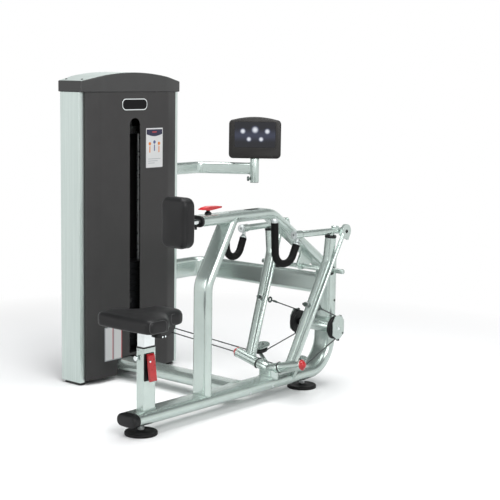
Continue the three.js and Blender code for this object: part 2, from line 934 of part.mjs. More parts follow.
// Cables: from each arm over the rear pulley, round the low pulley, through the slot and up inside the tower
const wrapRadius = rearPulleyRadius - pulleyGroove + cableRadius + cableAir;
const lowWrapRadius = lowPulleyRadius - pulleyGroove + cableRadius + cableAir;

// Where a cable from a place outside the rear pulley meets it, as an angle in the XZ plane
function tangentAngle(place, side) {
  const away = [place.x - rearPulleyX, place.z - rearPulleyLift];
  return Math.atan2(away[1], away[0]) + side * Math.acos(wrapRadius / Math.hypot(...away));
}

const stackY = (towerNearY + towerFarY) / 2;
function makeCable(name, side, lowCorner, towerCorners) {
  const y = side * rearPulleyY;
  const onWrap = (angle) =>
    point(rearPulleyX + wrapRadius * Math.cos(angle), y, rearPulleyLift + wrapRadius * Math.sin(angle));
  const topAngle = tangentAngle(eyeCentre, -1);
  const bottomAngle = tangentAngle(at(lowCorner), 1);
  const start = onWrap(topAngle);
  const heading = point(Math.sin(topAngle), 0, -Math.cos(topAngle));
  const corners = [onWrap(bottomAngle), at(lowCorner), ...towerCorners];
  const wrap = new Route(Y).addArc(onShaft(y), Y, start, heading, topAngle - bottomAngle, wrapSteps);
  const low = bent(corners.slice(0, 3), lowWrapRadius, Y);
  const inside = bent(corners, cableTurn, Y);
  const route = new Route(Y);
  const lowCount = bendSteps + 2;
  const takeOver = (from, first, last) =>
    from.points.slice(first, last).forEach((p, i) => route.add(p, from.tangents[first + i]));
  takeOver(wrap, 0);
  takeOver(low, 1, lowCount);
  takeOver(inside, lowCount);
  place("cable_" + name, sweep(circle(cableRadius), route, cableSteps), cableBlack);
  const eyeSide = eyeCentre.clone();
  eyeSide.y *= side;
  const pull = start.clone().sub(eyeSide).normalize();
  const hook = eyeSide.addScaledVector(pull, eyeRadius + eyeWire + 2 * gap);
  const tip = start.clone().addScaledVector(pull, -cableAir);
  place("arm_cable_" + name, rod(hook, tip, cableRadius, cableSides), cableBlack);
  return low.bends[0];
}

// Low pulleys, each carried by a strut from the main rail, with a small cover
function makeLowPulley(name, bend, side) {
  const axis = bend.axis.z > 0 ? bend.axis : bend.axis.clone().negate();
  const above = (distance) => bend.centre.clone().addScaledVector(axis, distance);
  const half = lowPulleyWidth / 2;
  const foot = point(bend.centre.x, side * (railWidth / 2 - overrun), railLift);
  const head = above(-half - pulleyAir);
  const coverFoot = above(half + pulleyAir);
  const rearward = X.clone().addScaledVector(axis, -axis.x).normalize();
  const coverShape = oval(2 * lowCoverRadius, 2 * lowCoverRadius + lowCoverReach);
  const coverCorner = coverFoot.clone().addScaledVector(rearward, lowCoverReach / 2);
  const bracket = join(
    rod(above(-half - bracketThickness), above(half + pulleyAir + bracketThickness / 2), pulleyBoltRadius),
    plate(coverShape, bracketThickness, coverCorner, rearward.clone().cross(axis), rearward),
    rod(above(-half - 2 * pulleyAir - 2 * bracketThickness), head, lowHubRadius, rodSides),
    rod(foot, above(-half - 2 * pulleyAir - bracketThickness), bracketStrut),
  );
  const wheel = pulley(bend.centre, axis, lowPulleyRadius, lowPulleyWidth, pulleyBoltRadius + gap);
  place("low_pulley_" + name, wheel, nylon);
  return bracket;
}

const floatWrap = floatPulleyRadius - pulleyGroove + cableRadius + cableAir;
const riserTop = (side) => point(cableRiseX + side * floatWrap, stackY, floatPulleyLift);
const riserFoot = (side, lift) => riserTop(side).setZ(lift);
const leftLow = makeCable("left", 1, lowLeftCorner, [riserFoot(-1, leftCableLift), riserTop(-1)]);
const rightLow = makeCable("right", -1, lowRightCorner, [
  riserFoot(-1, rightCableLift),
  riserFoot(1, rightCableLift),
  riserTop(1),
]);
const leftBracket = makeLowPulley("left", leftLow, 1);
const rightBracket = makeLowPulley("right", rightLow, -1);
place("main_rail", join(mainRail, leftBracket, rightBracket), silver);

// Seat post, stem with its bracket, cushion and lever
function upright(shape, x, bottom, top) {
  return plate(shape, top - bottom, point(x, 0, bottom), X, Y);
}
const seatPostInside = [seatPostDepth - 2 * seatPostWall, seatPostWidth - 2 * seatPostWall];
const seatPostFloor = railLift + railHeight / 2 + overrun;
const leverPlate = box(
  seatLeverX - leverPlateWidth / 2,
  seatLeverX + leverPlateWidth / 2,
  -seatPostWidth / 2 - leverPlateThickness,
  0,
  seatLeverTop - seatLeverHeight,
  seatLeverTop,
);
const seatPostOutside = roundedRectangle(seatPostDepth, seatPostWidth, seatPostRound);
const seatPost = cut(
  join(upright(seatPostOutside, seatPostX, railLift, seatPostTop), leverPlate),
  upright(
    roundedRectangle(...seatPostInside, seatPostRound - seatPostWall),
    seatPostX,
    seatPostFloor,
    seatPostTop + overrun,
  ),
  aroundRail,
);
place("seat_post", seatPost, silver);

const seatStemSize = seatPostInside.map((size) => size - 2 * gap);
const seatStemRound = seatPostRound - seatPostWall - gap;
const seatPlateTop = seatUnderside - gap;
const seatPlateBottom = seatPlateTop - seatPlateThickness;
const seatWeb = plate(
  polygon([
    [seatWebFront, seatPlateBottom - seatWebHeight],
    [seatWebRear, seatPlateBottom - seatWebHeight],
    [seatPlateRear, seatPlateBottom - seatWebHeight / 3],
    [seatPlateRear, seatPlateBottom + seatPlateThickness / 2],
    [seatWebFront, seatPlateBottom + seatPlateThickness / 2],
  ]),
  seatWebThickness,
  point(0, seatWebThickness / 2, 0),
  X,
  Z,
);
const seatStem = join(
  upright(
    roundedRectangle(...seatStemSize, seatStemRound),
    seatPostX,
    seatStemBottom,
    seatPlateBottom + seatPlateThickness / 2,
  ),
  box(
    seatPlateFront,
    seatPlateRear,
    -seatPlateHalfWidth,
    seatPlateHalfWidth,
    seatPlateBottom,
    seatPlateTop,
  ),
  seatWeb,
);
const seatStemInside = seatStemSize.map((size) => size - 2 * seatStemWall);
const seatStemBore = upright(
  roundedRectangle(...seatStemInside, seatStemRound - seatStemWall / 2),
  seatPostX,
  seatStemBottom - overrun,
  seatPlateBottom - seatStemWall,
);
place("seat_stem", cut(seatStem, seatStemBore), chrome);

const seatOutline = roundedOutline(
  [
    [seatFrontX, -seatHalfWidth, seatCorner],
    [seatShoulderX, -seatHalfWidth, seatCorner],
    [seatNoseRootX, -noseHalfWidth, seatInnerCorner],
    [seatNoseX, -noseHalfWidth, noseRound],
    [seatNoseX, noseHalfWidth, noseRound],
    [seatNoseRootX, noseHalfWidth, seatInnerCorner],
    [seatShoulderX, seatHalfWidth, seatCorner],
    [seatFrontX, seatHalfWidth, seatCorner],
  ],
  cushionSteps,
);
const seatBase = point(0, 0, seatUnderside);
place(
  "seat_cushion",
  cushion(seatOutline, seatEdge, seatThickness, seatCrown, seatBase, X, Y),
  upholstery,
);

const leverNear = -seatPostWidth / 2 - leverPlateThickness - gap;
const leverShape = polygon([
  [leverNear, seatLeverTop],
  [leverNear - seatLeverThickness, seatLeverTop - seatLeverThickness / 2],
  [leverNear - seatLeverThickness - seatLeverKick, seatLeverTop - seatLeverHeight],
  [leverNear - seatLeverKick, seatLeverTop - seatLeverHeight],
]);
const leverStart = point(seatLeverX - seatLeverWidth / 2, 0, 0);
place("seat_lever", plate(leverShape, seatLeverWidth, leverStart, Y, Z), redPlastic);

// Chest pad on its telescoping stem, with its collar and lever
const padRearX = padFrontX + padThickness;
const padMiddle = (padBottom + padTop) / 2;
const padHalfHeight = (padTop - padBottom) / 2;
const padOutline = roundedOutline(
  [
    [-padHalfHeight, -padHalfWidth, padCorner],
    [padHalfHeight, -padHalfWidth, padCorner],
    [padHalfHeight, padHalfWidth, padCorner],
    [-padHalfHeight, padHalfWidth, padCorner],
  ],
  cushionSteps,
);
const padBase = point(padRearX, 0, padMiddle);
place("chest_pad", cushion(padOutline, padEdge, padThickness, padCrown, padBase, Z, Y), upholstery);

const padPlateFront = padRearX + gap;
const padPlateRear = padPlateFront + padPlateThickness;
const padPlateHalf = padHalfWidth - padPlateInset;
const padStemSection = oval(padStemHeight, padStemWidth);
const padStemRun = bent([point(padPlateFront, 0, upperLift), point(padStemEnd, 0, upperLift)], 0, Y);
const padStem = join(
  box(
    padPlateFront,
    padPlateRear,
    -padPlateHalf,
    padPlateHalf,
    padBottom + padPlateInset,
    padTop - padPlateInset,
  ),
  sweep(padStemSection, padStemRun),
);
place("pad_stem", padStem, chrome);

const collarBack = upperFront - gap;
const collarFace = collarBack - padCollarLength;
const collarRun = (from, to) => bent([point(from, 0, upperLift), point(to, 0, upperLift)], 0, Y);
const padCollar = cut(
  join(
    sweep(oval(upperHeight, upperWidth, collarLip), collarRun(collarFace, collarBack)),
    sweep(oval(...upperInside, -gap), collarRun(collarFace, collarBack + padCollarPlug)),
  ),
  sweep(
    oval(padStemHeight, padStemWidth, stemClearance),
    collarRun(collarFace - overrun, collarBack + padCollarPlug + overrun),
  ),
);
place("pad_collar", padCollar, nylon);

const padLeverTop = padLeverLift + padLeverThickness;
const padLeverEnd = padLeverX + padLeverLength;
const padLeverShape = new THREE.Shape();
padLeverShape.moveTo(padLeverX, padLeverLift + padLeverThickness / 3);
padLeverShape.quadraticCurveTo(padLeverStemX, padLeverTop + padLeverThickness, padLeverEnd, padLeverTop);
padLeverShape.lineTo(padLeverEnd, padLeverTop - padLeverThickness / 2);
padLeverShape.lineTo(padLeverStemX, padLeverLift);
padLeverShape.closePath();
const padLeverSide = point(0, padLeverWidth / 2, 0);
const padLeverFoot = upperLift + upperHeight / 2 + gap;
const padLever = join(
  plate(padLeverShape, padLeverWidth, padLeverSide, X, Z),
  rod(
    point(padLeverStemX, 0, padLeverFoot),
    point(padLeverStemX, 0, padLeverLift + padLeverStem),
    padLeverStem,
  ),
);
place("pad_lever", padLever, redPlastic);

// Weight tower: base, side panels, shrouds and cap
const stackX = (towerFrontX + towerRearX) / 2;
const insideFront = towerFrontX + panelWall + gap;
const insideRear = towerRearX - panelWall - gap;
const insideNear = towerNearY + panelWall + gap;
const insideFar = towerFarY - panelWall - gap;
const baseBottom = railLift + railHeight / 2 + gap;
const baseTop = baseBottom + baseThickness;
const legTop = baseBottom + baseThickness / 2;
const legBottom = towerFootHeight + gap;
const legFront = [insideFront, insideFront + baseLegWidth];
const legRear = [insideRear - baseLegWidth, insideRear];
const footMiddles = [legFront, legRear].map(([from, to]) => (from + to) / 2);
const footReach = towerFarY - towerNearY - 2 * (panelWall + gap);
const towerFeet = footMiddles.map((x) =>
  plate(oval(2 * towerFootRadius, footReach), legBottom + overrun, point(x, stackY, 0), X, Y),
);
const guideXs = [stackX - guideSpread, stackX + guideSpread];
const stackSeat = box(
  guideXs[0] + guideRadius + guideClearance,
  guideXs[1] - guideRadius - guideClearance,
  stackY - stackSeatHalf,
  stackY + stackSeatHalf,
  legTop,
  stackBottom - gap,
);
const towerBase = join(
  box(insideFront, insideRear, insideNear, insideFar, baseBottom, baseTop),
  box(...legFront, insideNear, insideFar, legBottom, legTop),
  box(...legRear, insideNear, insideFar, legBottom, legTop),
  stackSeat,
  ...towerFeet,
);
place("tower_base", towerBase, blackPaint);

function sidePanel(outside, inward) {
  const [x0, x1] = [outside, outside + inward * panelFlange].sort((a, b) => a - b);
  const [i0, i1] = [outside + inward * panelWall, outside + inward * panelWidthCut].sort((a, b) => a - b);
  return cut(
    box(x0, x1, towerNearY, towerFarY, towerBottom, towerTop),
    box(i0, i1, towerNearY + panelWall, towerFarY - panelWall, towerBottom - overrun, towerTop + overrun),
  );
}
place("tower_side_front", sidePanel(towerFrontX, 1), aluminium);
place("tower_side_rear", sidePanel(towerRearX, -1), aluminium);

// A shroud's plan: a return at each edge, a slanted facet and a flat face
const shroudFrontX = towerFrontX + panelFlange + gap;
const shroudRearX = towerRearX - panelFlange - gap;
function shroudPlan(inset, open) {
  const [x0, x1] = [shroudFrontX + inset, shroudRearX - inset];
  const shoulder = towerNearY - shroudReturn + inset;
  const rootY = towerNearY + panelWall + open;
  return polygon([
    [x0, rootY],
    [x0, shoulder],
    [x0 + shroudFacet, shroudFace + inset],
    [x1 - shroudFacet, shroudFace + inset],
    [x1, shoulder],
    [x1, rootY],
  ]);
}
const shroudTop = towerTop - gap;
const shroudShell = cut(
  plate(shroudPlan(0, 0), shroudTop - shroudBottom, point(0, 0, shroudBottom), X, Y),
  plate(
    shroudPlan(shroudWall, overrun),
    shroudTop - shroudBottom + 2 * overrun,
    point(0, 0, shroudBottom - overrun),
    X,
    Y,
  ),
);
const slotShape = new THREE.Shape();
const slotRadius = slotWidth / 2;
slotShape.absarc(0, slotTop - slotRadius, slotRadius, 0, Math.PI, false);
slotShape.lineTo(-slotRadius, slotBottom);
slotShape.lineTo(slotRadius, slotBottom);
const shroudBite = towerNearY - shroudFace + overrun;
const slot = plate(slotShape, shroudBite, point(stackX, towerNearY, 0), X, Z);
const exitLift = (leftCableLift + rightCableLift) / 2;
const exitShape = oval(exitWidth, exitHeight);
const cableExit = plate(exitShape, shroudBite, point(cableRiseX - floatWrap, towerNearY, exitLift), X, Z);
const notch = box(
  crossX - railWidth / 2 - notchClearance,
  crossX + railWidth / 2 + notchClearance,
  shroudFace - overrun,
  towerNearY,
  0,
  railLift + railHeight / 2 + notchClearance,
);
place("shroud_user_side", cut(shroudShell, slot, notch, cableExit), shroudGrey);

const farShroud = new THREE.Mesh(geometryOf(shroudShell), shroudGrey);
farShroud.name = "shroud_far_side";
farShroud.scale.y = -1;
farShroud.position.y = towerNearY + towerFarY;
root.add(farShroud);

function capPlan(inset) {
  const facet = shroudFacet + panelFlange;
  const [x0, x1] = [towerFrontX + inset, towerRearX - inset];
  const near = [towerNearY - shroudReturn + inset, shroudFace + inset];
  const far = near.map((y) => towerNearY + towerFarY - y);
  return polygon([
    [x0, near[0]],
    [x0 + facet, near[1]],
    [x1 - facet, near[1]],
    [x1, near[0]],
    [x1, far[0]],
    [x1 - facet, far[1]],
    [x0 + facet, far[1]],
    [x0, far[0]],
  ]);
}
function capArch(inset, bottom) {
  const shape = new THREE.Shape();
  const half = (towerRearX - towerFrontX) / 2;
  const rise = capCrown - capSide;
  const radius = (half * half + rise * rise) / (2 * rise);
  const reach = Math.asin(half / radius);
  const crown = towerTop + capCrown;
  const middle = towerFrontX + half;
  shape.absarc(middle, crown - radius, radius - inset, Math.PI / 2 - reach, Math.PI / 2 + reach, false);
  shape.lineTo(towerFrontX, bottom);
  shape.lineTo(towerRearX, bottom);
  shape.closePath();
  return plate(shape, shroudDepth, point(0, towerFarY + towerNearY - shroudFace, 0), X, Z, capSteps);
}
const shroudDepth = towerFarY + towerNearY - 2 * shroudFace;
const capFoot = towerTop + gap;
const capPrism = (inset, bottom) =>
  plate(capPlan(inset), capCrown * 2, point(0, 0, bottom), X, Y).intersect(capArch(inset, bottom));
const towerCap = cut(capPrism(0, capFoot), capPrism(capWall, capFoot - overrun));
place("tower_cap", towerCap, capGrey);

// Guide rods with their tie bar and the top pulley hangers
const tieTop = topPulleyLift - tieDrop;
const tieBottom = tieTop - tieHeight;
const topPulleyWrap = topPulleyRadius - pulleyGroove + cableRadius + cableAir;
const topPulleyPlaces = [stackX + topPulleyWrap, cableRiseX - topPulleyWrap];
const hangerOut = topPulleyWidth / 2 + pulleyAir;
const hangers = topPulleyPlaces.flatMap((x) => [
  ...[-hangerOut - hangerThickness, hangerOut].map((y) =>
    box(
      x - hangerHalf,
      x + hangerHalf,
      stackY + y,
      stackY + y + hangerThickness,
      tieTop - overrun,
      topPulleyLift + hangerHalf,
    ),
  ),
  rod(
    point(x, stackY - hangerOut - hangerThickness, topPulleyLift),
    point(x, stackY + hangerOut + hangerThickness, topPulleyLift),
    topPulleyBolt,
  ),
]);
const guideRods = guideXs.map((x) =>
  rod(point(x, stackY, baseTop + gap), point(x, stackY, tieTop - overrun), guideRadius),
);
const tie = box(
  insideFront,
  insideRear,
  stackY - tieDepth / 2,
  stackY + tieDepth / 2,
  tieBottom,
  tieTop,
);
const tieHoles = [stackX, cableRiseX].map((x) =>
  rod(point(x, stackY, tieBottom - overrun), point(x, stackY, tieTop + overrun), tieHoleRadius),
);
place("guide_frame", cut(join(tie, ...guideRods, ...hangers), ...tieHoles), steel);
topPulleyPlaces.forEach((x, i) => {
  const wheel = pulley(
    point(x, stackY, topPulleyLift),
    Y,
    topPulleyRadius,
    topPulleyWidth,
    topPulleyBolt + gap,
  );
  place(["top_pulley_front", "top_pulley_rear"][i], wheel, nylon);
});

// Weight plates, in a resting and a lifted group, and the top plate with its selector rod and pin
const [plateFront, plateRear] = [stackX - plateLength / 2, stackX + plateLength / 2];
const [plateNear, plateFar] = [stackY - plateDepth / 2, stackY + plateDepth / 2];
const guideHoles = (bottom, top) =>
  guideXs.map((x) =>
    rod(
      point(x, stackY, bottom - overrun),
      point(x, stackY, top + overrun),
      guideRadius + guideClearance,
    ),
  );
function plates(count, bottom) {
  const top = bottom + count * platePitch - gap;
  const solids = [];
  for (let i = 0; i < count; i++) {
    const from = bottom + i * platePitch;
    solids.push(box(plateFront, plateRear, plateNear, plateFar, from, from + platePitch - plateGroove));
  }
  solids.push(
    box(
      plateFront + plateNeck,
      plateRear - plateNeck,
      plateNear + plateNeck,
      plateFar - plateNeck,
      bottom,
      top,
    ),
  );
  const bore = rod(
    point(stackX, stackY, bottom - overrun),
    point(stackX, stackY, top + overrun),
    selectorRadius + guideClearance,
  );
  return cut(join(...solids), bore, ...guideHoles(bottom, top));
}
const liftedBottom = stackBottom + restingPlateCount * platePitch;
const topPlateBottom = liftedBottom + liftedPlateCount * platePitch;
const topPlateTop = topPlateBottom + topPlateThickness;
const pinLift = liftedBottom + (platePitch - plateGroove) / 2;
const pinTip = stackY + selectorRadius - pinRadius;
const pinFoot = pinTip - pinLength;
const pinHole = rod(
  point(stackX, plateNear - overrun, pinLift),
  point(stackX, stackY + selectorRadius, pinLift),
  pinRadius + gap,
);
place("plates_resting", plates(restingPlateCount, stackBottom), plateSteel);
place("plates_lifted", cut(plates(liftedPlateCount, liftedBottom), pinHole), plateSteel);
const topPlate = join(
  box(plateFront, plateRear, plateNear, plateFar, topPlateBottom, topPlateTop),
  rod(
    point(stackX, stackY, stackBottom),
    point(stackX, stackY, topPlateTop + selectorNose),
    selectorRadius,
  ),
);
place("top_plate", cut(topPlate, pinHole, ...guideHoles(topPlateBottom, topPlateTop)), plateSteel);
const pinAxis = (y) => point(stackX, y, pinLift);
const selectorPin = join(
  rod(pinAxis(pinFoot), pinAxis(pinTip), pinRadius),
  rod(pinAxis(pinFoot - pinKnobLength), pinAxis(pinFoot), pinKnobRadius),
);
place("selector_pin", selectorPin, redPlastic);

// Lift cable: up from the top plate, over the top pulleys and down to the floating pulley
const liftStart = topPlateTop + selectorNose + gap;
const liftCorner = topPulleyLift + topPulleyWrap;
const liftSplit = topPulleyLift - gap;
const floatTop = floatPulleyLift + floatPulleyRadius + floatStrap;
const liftOver = bent(
  [
    point(stackX, stackY, topPulleyLift),
    point(stackX, stackY, liftCorner),
    point(cableRiseX, stackY, liftCorner),
    point(cableRiseX, stackY, floatTop + gap),
  ],
  topPulleyWrap,
  Y,
);
const straight = (x, from, to) => rod(point(x, stackY, from), point(x, stackY, to), cableRadius, cableSides);
place("lift_cable_stack", straight(stackX, liftStart, liftSplit), cableBlack);
place("lift_cable_over", sweep(circle(cableRadius), liftOver, cableSteps), cableBlack);

const cheekOut = lowPulleyWidth / 2 + pulleyAir;
const cheek = (y) =>
  box(
    cableRiseX - floatStrap,
    cableRiseX + floatStrap,
    stackY + y,
    stackY + y + floatCheek,
    floatPulleyLift - floatStrap,
    floatTop,
  );
const floatBlock = join(
  cheek(-cheekOut - floatCheek),
  cheek(cheekOut),
  box(
    cableRiseX - floatStrap,
    cableRiseX + floatStrap,
    stackY - cheekOut - floatCheek / 2,
    stackY + cheekOut + floatCheek / 2,
    floatTop - floatCheek,
    floatTop,
  ),
  rod(
    point(cableRiseX, stackY - cheekOut - floatCheek, floatPulleyLift),
    point(cableRiseX, stackY + cheekOut + floatCheek, floatPulleyLift),
    topPulleyBolt,
  ),
);
const floatCentre = point(cableRiseX, stackY, floatPulleyLift);
const floatPulley = pulley(floatCentre, Y, floatPulleyRadius, lowPulleyWidth, topPulleyBolt - gap);
place("float_block", join(floatBlock, floatPulley), steel);

// Console boom with its mast, console housing and screen
const boomRoute = bent(
  [
    point(towerRearX + gap, boomStubY, boomLift),
    point(boomCornerX, boomStubY, boomLift),
    point(mastX, mastY, boomLift),
  ],
  boomBend,
  Z,
);
const mastAt = (lift) => point(mastX, mastY, lift);
const mast = rod(mastAt(mastBottom), mastAt(consoleBottom - gap), mastRadius, wheelSides);
place("console_boom", join(sweep(oval(boomThickness, boomHeight), boomRoute), mast), silver);

const facing = point(Math.cos(degrees(consoleTurn)), Math.sin(degrees(consoleTurn)), 0);
const consoleRight = Z.clone().cross(facing);
const consoleShape = new THREE.Shape();
const consoleHalf = consoleWidth / 2 - consoleCorner;
const consoleShoulder = consoleHeight - consoleArch;
consoleShape.absarc(-consoleHalf, consoleCorner, consoleCorner, Math.PI, 1.5 * Math.PI, false);
consoleShape.absarc(consoleHalf, consoleCorner, consoleCorner, 1.5 * Math.PI, 2 * Math.PI, false);
consoleShape.absarc(consoleHalf, consoleShoulder - consoleCorner, consoleCorner, 0, Math.PI / 2, false);
consoleShape.quadraticCurveTo(0, consoleHeight + consoleArch, -consoleHalf, consoleShoulder);
const consoleCornerLift = consoleShoulder - consoleCorner;
consoleShape.absarc(-consoleHalf, consoleCornerLift, consoleCorner, Math.PI / 2, Math.PI, false);
consoleShape.closePath();
const consoleBack = point(mastX, mastY, consoleBottom).addScaledVector(facing, -consoleDepth / 2);
const consoleFront = consoleBack.clone().addScaledVector(facing, consoleDepth);
const screenShape = (grow) => roundedRectangle(screenWidth, screenHeight, screenCorner, grow);
const screenMiddle = consoleFront.clone().add(point(0, 0, screenAbove + screenHeight / 2));
const screenBack = screenMiddle.clone().addScaledVector(facing, -screenDepth);
const housing = plate(consoleShape, consoleDepth, consoleBack, consoleRight, Z, ovalSteps, consoleRound);
const recessBack = screenBack.clone().addScaledVector(facing, -gap);
const recess = plate(screenShape(gap), screenDepth + overrun, recessBack, consoleRight, Z);
place("console_housing", cut(housing, recess), nylon);
place("screen", plate(screenShape(0), screenDepth - gap, screenBack, consoleRight, Z), glass);

export default root;
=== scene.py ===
# %% [markdown]
# # A seated row machine with a shrouded weight stack
# This lesson dresses a finished CAD model. The CAD gives every size and every joint, and Blender gives the
# surfaces. All shapes are worked out in millimetres, in the frame of the CAD: the origin is on the floor
# under the front foot, +X is the way the user faces, +Y is the user's left, where the weight stack stands,
# and +Z is up.

# %% Load the frame
import math

import bmesh
import bpy
import numpy as np
from mathutils import Matrix, Quaternion, Vector
from mathutils.bvhtree import BVHTree
from mathutils.geometry import tessellate_polygon


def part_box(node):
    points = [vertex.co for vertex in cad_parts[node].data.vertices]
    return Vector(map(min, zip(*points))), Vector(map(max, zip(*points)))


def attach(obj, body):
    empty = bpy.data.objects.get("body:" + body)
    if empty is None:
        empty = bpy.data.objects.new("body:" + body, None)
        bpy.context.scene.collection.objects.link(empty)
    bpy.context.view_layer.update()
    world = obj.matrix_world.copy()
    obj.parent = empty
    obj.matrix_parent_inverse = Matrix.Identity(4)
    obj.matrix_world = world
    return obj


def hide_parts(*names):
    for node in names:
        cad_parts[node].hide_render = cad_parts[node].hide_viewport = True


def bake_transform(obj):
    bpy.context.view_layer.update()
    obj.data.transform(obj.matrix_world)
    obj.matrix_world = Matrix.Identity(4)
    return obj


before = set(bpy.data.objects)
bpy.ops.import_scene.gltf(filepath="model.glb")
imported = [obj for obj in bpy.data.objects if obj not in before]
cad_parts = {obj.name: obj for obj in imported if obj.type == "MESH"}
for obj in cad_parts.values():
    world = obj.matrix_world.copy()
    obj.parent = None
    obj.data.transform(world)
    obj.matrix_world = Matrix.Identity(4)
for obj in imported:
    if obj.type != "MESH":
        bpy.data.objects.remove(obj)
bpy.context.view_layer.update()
MM = 0.001
X, Y, Z = Vector((1, 0, 0)), Vector((0, 1, 0)), Vector((0, 0, 1))

# %% [markdown]
# ## The camera first
# A product photograph is taken with a long lens from far away, so that upright lines stay upright. The place
# and the turn of this camera were worked out from known sizes on the machine. Its three directions are
# written as a matrix, which is plainer than three angles whose order has to be remembered.

# %% Camera
LENS_PIXELS, PICTURE_PIXELS, SENSOR = 1254.2, 500, 36
CAMERA_PLACE = (-3.8467, -3.8768, 1.618)
CAMERA_YAW, CAMERA_PITCH, CAMERA_ROLL = 0.7021, 0.142, 0.0146


def camera_turn(yaw, pitch, roll):
    """The camera's right, up and back directions as a rotation matrix."""
    ahead = Vector((math.cos(pitch) * math.cos(yaw), math.cos(pitch) * math.sin(yaw), -math.sin(pitch)))
    level = ahead.cross(Z).normalized()
    upright = level.cross(ahead)
    right = math.cos(roll) * level + math.sin(roll) * upright
    up = math.cos(roll) * upright - math.sin(roll) * level
    return Matrix((right, up, -ahead)).transposed()


camera_data = bpy.data.cameras.new("camera")
camera_data.sensor_width = SENSOR
camera_data.lens = LENS_PIXELS / PICTURE_PIXELS * SENSOR
camera = bpy.data.objects.new("camera", camera_data)
turn = camera_turn(CAMERA_YAW, CAMERA_PITCH, CAMERA_ROLL)
camera.matrix_world = Matrix.Translation(CAMERA_PLACE) @ turn.to_4x4()
bpy.context.scene.collection.objects.link(camera)
bpy.context.scene.camera = camera
bpy.context.scene.view_settings.view_transform = "Standard"
print("lens", round(camera_data.lens, 1), "mm")

# %% [markdown]
# ## Materials as lists of nodes
# A material is a small network. One function puts a node into it, sets it and joins it up. Colours are picked
# on a screen as sRGB hex values, but a shader works in linear light, so one function turns them.


# %% Material helpers
def linear(hex_colour):
    """An sRGB hex colour as linear red, green, blue and alpha."""
    parts = [int(hex_colour[i : i + 2], 16) / 255 for i in (1, 3, 5)]
    return (*[c / 12.92 if c <= 0.04045 else ((c + 0.055) / 1.055) ** 2.4 for c in parts], 1)


def put(material, kind, links=None, values=None, **settings):
    """Adds a node with its settings, its socket values, and the links that come into it."""
    node = material.node_tree.nodes.new(kind)
    for name, value in settings.items():
        setattr(node, name, value)
    for socket, value in (values or {}).items():
        node.inputs[socket].default_value = value
    for socket, source in (links or {}).items():
        material.node_tree.links.new(source, node.inputs[socket])
    return node


def bare_material(name):
    material = bpy.data.materials.new(name)
    material.use_nodes = True
    material.node_tree.nodes.clear()
    return material


CLOUD_LOW, CLOUD_HIGH = 0.3, 0.7
GRAIN_STRENGTH = 0.6


def finish(name, light, dark, patch, grain, depth, shader, spread=0.05, stretch=(1, 1, 1), cells=False):
    """A finish with clouds of two close colours and a surface grain.

    patch and grain are the sizes of a cloud and a grain, and depth is how far a grain stands up, in
    millimetres. shader holds the values of the shader's own sockets. The clouds vary the gloss by spread.
    """
    material = bare_material(name)
    place = put(material, "ShaderNodeTexCoord").outputs["Object"]
    drawn = put(material, "ShaderNodeMapping", {"Vector": place}, {"Scale": stretch}).outputs["Vector"]
    cloud_values = {"Scale": 1 / (patch * MM), "Detail": 3, "Roughness": 0.6}
    clouds = put(material, "ShaderNodeTexNoise", {"Vector": drawn}, cloud_values).outputs["Fac"]
    ramp = put(material, "ShaderNodeValToRGB", {"Fac": clouds})
    for element, position, colour in zip(ramp.color_ramp.elements, (CLOUD_LOW, CLOUD_HIGH), (dark, light)):
        element.position, element.color = position, linear(colour)
    scale = 1 / (grain * MM)
    if cells:
        cell_values = {"Scale": scale, "Randomness": 1}
        relief = put(material, "ShaderNodeTexVoronoi", {"Vector": drawn}, cell_values, feature="SMOOTH_F1")
        relief = relief.outputs["Distance"]
    else:
        noise_values = {"Scale": scale, "Detail": 2}
        relief = put(material, "ShaderNodeTexNoise", {"Vector": drawn}, noise_values).outputs["Fac"]
    height = {"Strength": GRAIN_STRENGTH, "Distance": depth * MM}
    bump = put(material, "ShaderNodeBump", {"Height": relief}, height)
    links = {"Base Color": ramp.outputs["Color"], "Normal": bump.outputs["Normal"]}
    if spread:
        base = shader["Roughness"]
        gloss = {
            "From Min": CLOUD_LOW, "From Max": CLOUD_HIGH, "To Min": base - spread, "To Max": base + spread
        }
        links["Roughness"] = put(material, "ShaderNodeMapRange", {"Value": clouds}, gloss).outputs["Result"]
    own = {socket: value for socket, value in shader.items() if socket not in links}
    principled = put(material, "ShaderNodeBsdfPrincipled", links, own)
    put(material, "ShaderNodeOutputMaterial", {"Surface": principled.outputs["BSDF"]})
    print("finish", name, light, dark)
    return material


# %% [markdown]
# ## The finishes of this machine
# Each one starts from what the real surface is and how it was made.
#
# The frame is steel tube with a **metallic powder coat**: tiny aluminium flakes in a clear resin. It is pale,
# with a cool green-grey tint. Its gloss is the same all over, because long bright tubes show even a faint
# change of gloss as blotches. The other finishes let the clouds vary it.

# %% Frame paint
silver_paint = finish(
    "metallic_powder_coat", "#c4d0cb", "#bdc9c4", patch=60, grain=4, depth=0.003, spread=0,
    shader={"Roughness": 0.27, "Metallic": 0.75},
)

# %% [markdown]
# The tower's side panels are **satin anodised aluminium** extrusions. The die leaves fine lines along their
# length, so the noise is stretched along Z. Rods and nuts are **bright zinc-plated steel**, and the eyebolts'
# steel is dark with **oil**. The seat tube is **polished chrome**, the caps of the grips **satin chrome**.

